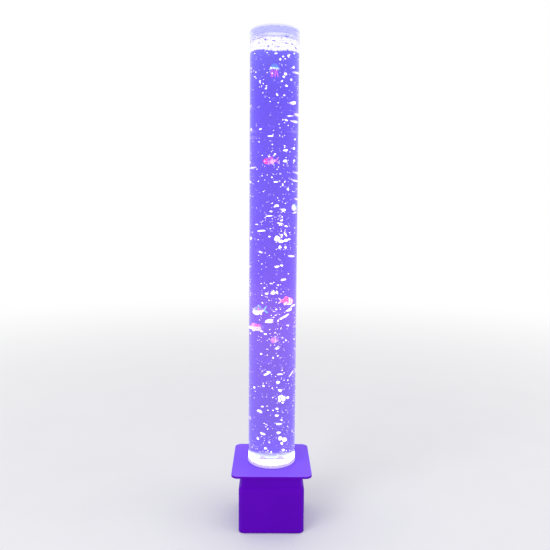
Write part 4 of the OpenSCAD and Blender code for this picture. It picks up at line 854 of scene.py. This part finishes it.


# The water's own blue glow lies over every creature, so their paint is written redder or greener than
# it looks there, and the deeper ones are painted with more glow. "behind" is painted shade: the share of
# paint and glow left on the side that faces the back wall, which is far nearer to the white fish than the front
# wall.
fishes = {
    "red": {"place": (-4, 0, 767), "facing": (0, -6), "size": (25.5, 13.6, 8), "tail": 12.75, "fin": 3,
        "head": "#FF0400", "back": "#B00058", "belly": "#FFC0A0", "line": 0.1, "bellyFrom": 0.36,
        "glowLevel": 8.5, "bands": ((0.46, 0.06, "#A030A0"), (0.7, 0.06, "#FFE8D8")),
        "topFin": ("#D00070", "#E800B0"), "lowFin": ("#FFA080", "#F0FFE0"), "tailFin": ("#D01090", "#F0B0D0"),
        "sideFin": ("#FF7060", "#F8F0E0")},
    "cyan": {"place": (34, 2, 673), "facing": (90, 4), "size": (27, 13.6, 8), "tail": 11.9, "fin": 3,
        "head": "#FFFFFF", "back": "#20C8FF", "belly": "#F4FFFF", "line": 0.0, "bellyFrom": 0.0,
        "glowLevel": 2.6, "bands": ((0.5, 0.06, "#10A0FF"),), "topFin": ("#10B8FF", "#0090FF"),
        "lowFin": ("#D0FFFF", "#FFFFFF"), "tailFin": ("#20C8FF", "#FFFFFF"),
        "sideFin": ("#A0F0FF", "#FFFFFF")},
    "pink": {"place": (24, -20, 481), "facing": (180, -3), "size": (30, 14.96, 8), "tail": 11.9, "fin": 3.5,
        "head": "#FF7020", "back": "#FF1010", "belly": "#FFFFFF", "line": -0.62, "bellyFrom": 0.1,
        "glowLevel": 4.0, "bands": ((0.33, 0.03, "#FFFFFF"), (0.52, 0.09, "#F80000")),
        "topFin": ("#F80000", "#FF3010"), "lowFin": ("#FFFFFF", "#FFE0D0"), "tailFin": ("#FF9070", "#FFFFFF"),
        "sideFin": ("#FF5020", "#FFFFFF")},
    "blue": {"place": (-24, -20, 461), "facing": (0, -9), "size": (30, 17, 8), "tail": 14.45, "fin": 4,
        "head": "#7C88FF", "back": "#3C5CFF", "belly": "#FFFFFF", "line": 0.0, "bellyFrom": 0.0,
        "glowLevel": 3.4, "bands": ((0.56, 0.03, "#F01020"),), "topFin": ("#0080FF", "#00A0FF"),
        "lowFin": ("#FFFFFF", "#E0FFFF"), "tailFin": ("#00B0FF", "#10F0FF"),
        "sideFin": ("#FFFFFF", "#D0FFFF")},
    "white": {"place": (-24, 20, 419), "facing": (180, 5), "size": (27.9, 14.45, 8), "tail": 12.75,
        "fin": 3.5, "head": "#203060", "back": "#E84820", "belly": "#F0FFD0", "line": 0.3, "bellyFrom": 0.28,
        "glowLevel": 15.0, "behind": 0.14, "bands": ((0.7, 0.05, "#F0C080"),),
        "topFin": ("#E84820", "#F0B070"), "lowFin": ("#F0FFD0", "#F0FFE0"), "tailFin": ("#F0FFD0", "#F0FFE0"),
        "sideFin": ("#405080", "#F0FFE0")},
    "coral": {"place": (4, 0, 397), "facing": (60, 0), "size": (23.4, 12.75, 7.2), "tail": 10.2, "fin": 2.5,
        "head": "#B060A0", "back": "#703880", "belly": "#F0B090", "line": 0.0, "bellyFrom": 0.3,
        "glowLevel": 10.0, "bands": ((0.4, 0.05, "#F0FFE0"), (0.75, 0.05, "#F03020")),
        "topFin": ("#C0A0C0", "#F0FFE0"), "lowFin": ("#F0FFE0", "#F0FFE0"), "tailFin": ("#F06040", "#F0FFE0"),
        "sideFin": ("#D0B0D0", "#F0FFE0")}}
for colour, own in fishes.items():
    s = dict(own, finThick=1.2, scaleMm=1.4, shade=own["belly"])
    points, faces, paint = fishShape(s)
    # Painted shade: the paint on the side that faces the back wall is darkened to the share behind.
    paint = paint * (1 - (1 - s.get("behind", 1.0)) * softStep(-1, 2, points[:, 1:2] - s["place"][1]))
    body = "fish_" + colour
    piece = addPiece(colour + "Fish", points, faces, body, body + "_plastic",
                     paintedVinyl(colour + "Vinyl", s), attributes={"paint": paint})
    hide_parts(body)
    print("fish made:", colour)

jelly = {"place": (0, 0, 948.0), "radius": 6.9, "height": 11.0, "hollow": (5.2, 8.0), "around": 48,
         "arms": 7, "armLength": 15.0, "armTop": 4.0, "bell": "#0078FF", "rim": "#C0FFFF",
         "inside": "#8020C0", "arm": "#8000A0", "armEnd": "#E050B0", "shade": "#6040FF", "scaleMm": 1.8,
         "glowLevel": 10.0}


# The bell: rings over the dome, round its scalloped rim and up into its hollow.
def jellyBell(s):
    turn = roundTurn(s["around"])
    out, inn = np.linspace(0.03, np.pi / 2, 18), np.linspace(np.pi / 2, 0.05, 12)
    radius = np.concatenate([s["radius"] * np.sin(out), s["hollow"][0] * np.sin(inn)])
    height = np.concatenate([s["height"] * np.cos(out), s["hollow"][1] * np.cos(inn)])
    low = np.exp(-np.concatenate([s["height"] * np.cos(out), 30 + 0 * inn]) / 2.2)[:, None]
    wide = radius[:, None] * (1 + 0.07 * low * np.cos(8 * turn))
    points, faces = closedStack(*polar(wide, turn), height[:, None] - 0.5 * low * (1 + np.cos(8 * turn)))
    paint = blended(s["rim"], s["bell"], softStep(0.08, 0.3, points[:, 2] / s["height"]))
    ring = np.arange(len(out) + len(inn))
    inner = np.append(np.repeat(ring >= len(out), s["around"]), [False, True]).astype(float)
    return points, faces, blended(paint, s["inside"], inner)


# An arm: round rings that taper, sway out and in, and lean out a little from the middle.
def jellyArm(s, k):
    t, a = np.linspace(0, 1, 20)[:, None], roundTurn(10)[None]
    reach = s["armTop"] + s["armLength"]
    lean = s["radius"] * 0.55 + 1.6 * t + 0.7 * np.sin(9 * t + k)
    thick = (1.7 - 1.1 * t) * (1 + 0.18 * np.sin(24 * t + k) * np.cos(3 * a))
    x, y = turned(lean + thick * np.cos(a), 0.5 * np.sin(7 * t + 2 * k) + thick * np.sin(a),
                  2 * np.pi * (k + 0.5) / s["arms"])
    points, faces = closedStack(x, y, s["armTop"] - reach * t)
    return points, faces, blended(s["arm"], s["armEnd"], softStep(0.2, 1.0, (s["armTop"] - points[:, 2]) / reach))


# The thick middle under the bell: rings that narrow downwards.
def jellyMiddle(s):
    t, a = np.linspace(0, 1, 14)[:, None], roundTurn(18)[None]
    thick = (s["radius"] / 2 * (1 - t) + 1.0 * t) * (1 + 0.12 * np.cos(5 * a + 6 * t))
    points, faces = closedStack(*polar(thick, a), 8.4 - 15.9 * t)
    return points, faces, blended(s["inside"], s["arm"], softStep(8, -6, points[:, 2]))


points, faces, paint = joined([jellyBell(jelly), jellyMiddle(jelly)]
                              + [jellyArm(jelly, k) for k in range(jelly["arms"])])
piece = addPiece("jellyfishBody", points + np.array(jelly["place"]), faces, "jellyfish", "jelly_plastic",
                 paintedVinyl("jellyVinyl", jelly), attributes={"paint": paint})
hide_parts("jellyfish")
print("jellyfish made")

# The room, in metres and watts. Each lamp has a name, a place, a power and a size.
room = {"tone": "#E9E9EC", "shade": "#E4E4E8", "mottlesPerMetre": 6.0, "radius": 9.0, "around": 64,
        "fadeFrom": 0.3, "fadeTo": 3.6, "airLevel": 0.85, "aim": (0, 0, 0.4),
        "lamps": (("keyLamp", (-1.6, -1.8, 2.6), 26.0, 1.4), ("fillLamp", (2.2, -0.6, 1.6), 9.0, 1.6))}


# Pale studio floor: painted board with a faint mottle, fading into the white air with distance.
def studioFloor(s):
    finish, tree, sockets, at = newFinish("paintedFloor", {"Roughness": 0.75, "Specular IOR Level": 0.2})
    mottle = addNode(tree, "TexNoise", {"Scale": s["mottlesPerMetre"], "Detail": 4.0}, {"Vector": at})
    completed(finish, s, mottle)
    reach = addNode(tree, "VectorMath", {"operation": "LENGTH"}, {0: at})
    share = addNode(tree, "MapRange", {"interpolation_type": "SMOOTHSTEP", "From Min": s["fadeFrom"],
                                       "From Max": s["fadeTo"]}, {"Value": reach.outputs["Value"]})
    bright = addNode(tree, "Emission", {"Color": white, "Strength": 1.0})
    both = addNode(tree, "MixShader", None, {0: share, 1: tree.nodes["Principled BSDF"], 2: bright})
    tree.links.new(both.outputs[0], tree.nodes["Material Output"].inputs["Surface"])
    return finish


turn = roundTurn(room["around"])
floorMesh = bpy.data.meshes.new("floor")
floorRing = np.stack([np.cos(turn), np.sin(turn), 0 * turn], -1) * room["radius"]
floorMesh.from_pydata(floorRing.tolist(), [], [list(range(room["around"]))])
floorMesh.materials.append(studioFloor(room))
floor = bpy.data.objects.new("floor", floorMesh)
bpy.context.scene.collection.objects.link(floor)

# The air lights the room a little less than it looks, to the camera, in a gloss and through what is
# clear.
air = bpy.data.worlds.new("air")
air.use_nodes = True
tree = air.node_tree
plain = tree.nodes["Background"]
plain.inputs["Color"].default_value = white
plain.inputs["Strength"].default_value = room["airLevel"]
path = addNode(tree, "LightPath").outputs
through = addNode(tree, "Math", {"operation": "MAXIMUM"},
                  {0: path["Is Glossy Ray"], 1: path["Is Transmission Ray"]})
seen = addNode(tree, "Math", {"operation": "MAXIMUM"}, {0: path["Is Camera Ray"], 1: through})
bright = addNode(tree, "Background", {"Color": white, "Strength": 1.0})
both = addNode(tree, "MixShader", None, {0: seen, 1: plain, 2: bright})
tree.links.new(both.outputs[0], tree.nodes["World Output"].inputs["Surface"])
bpy.context.scene.world = air


# A square area lamp at a place, turned so that its back points away from its target.
def addLamp(name, place, target, watts, size):
    lamp = bpy.data.lights.new(name, "AREA")
    lamp.energy, lamp.size = watts, size
    carrier = bpy.data.objects.new(name, lamp)
    back = np.array(place) - np.array(target)
    back = back / np.linalg.norm(back)
    flat = np.cross([0, 0, 1], back)
    flat = flat / np.linalg.norm(flat)
    carrier.matrix_world = placedAlong(flat, np.cross(back, flat), back, place)
    carrier.visible_glossy = carrier.visible_transmission = False
    bpy.context.scene.collection.objects.link(carrier)


for name, place, watts, size in room["lamps"]:
    addLamp(name, place, room["aim"], watts, size)
bpy.context.scene.view_settings.view_transform = "Standard"
print("floor and light set")
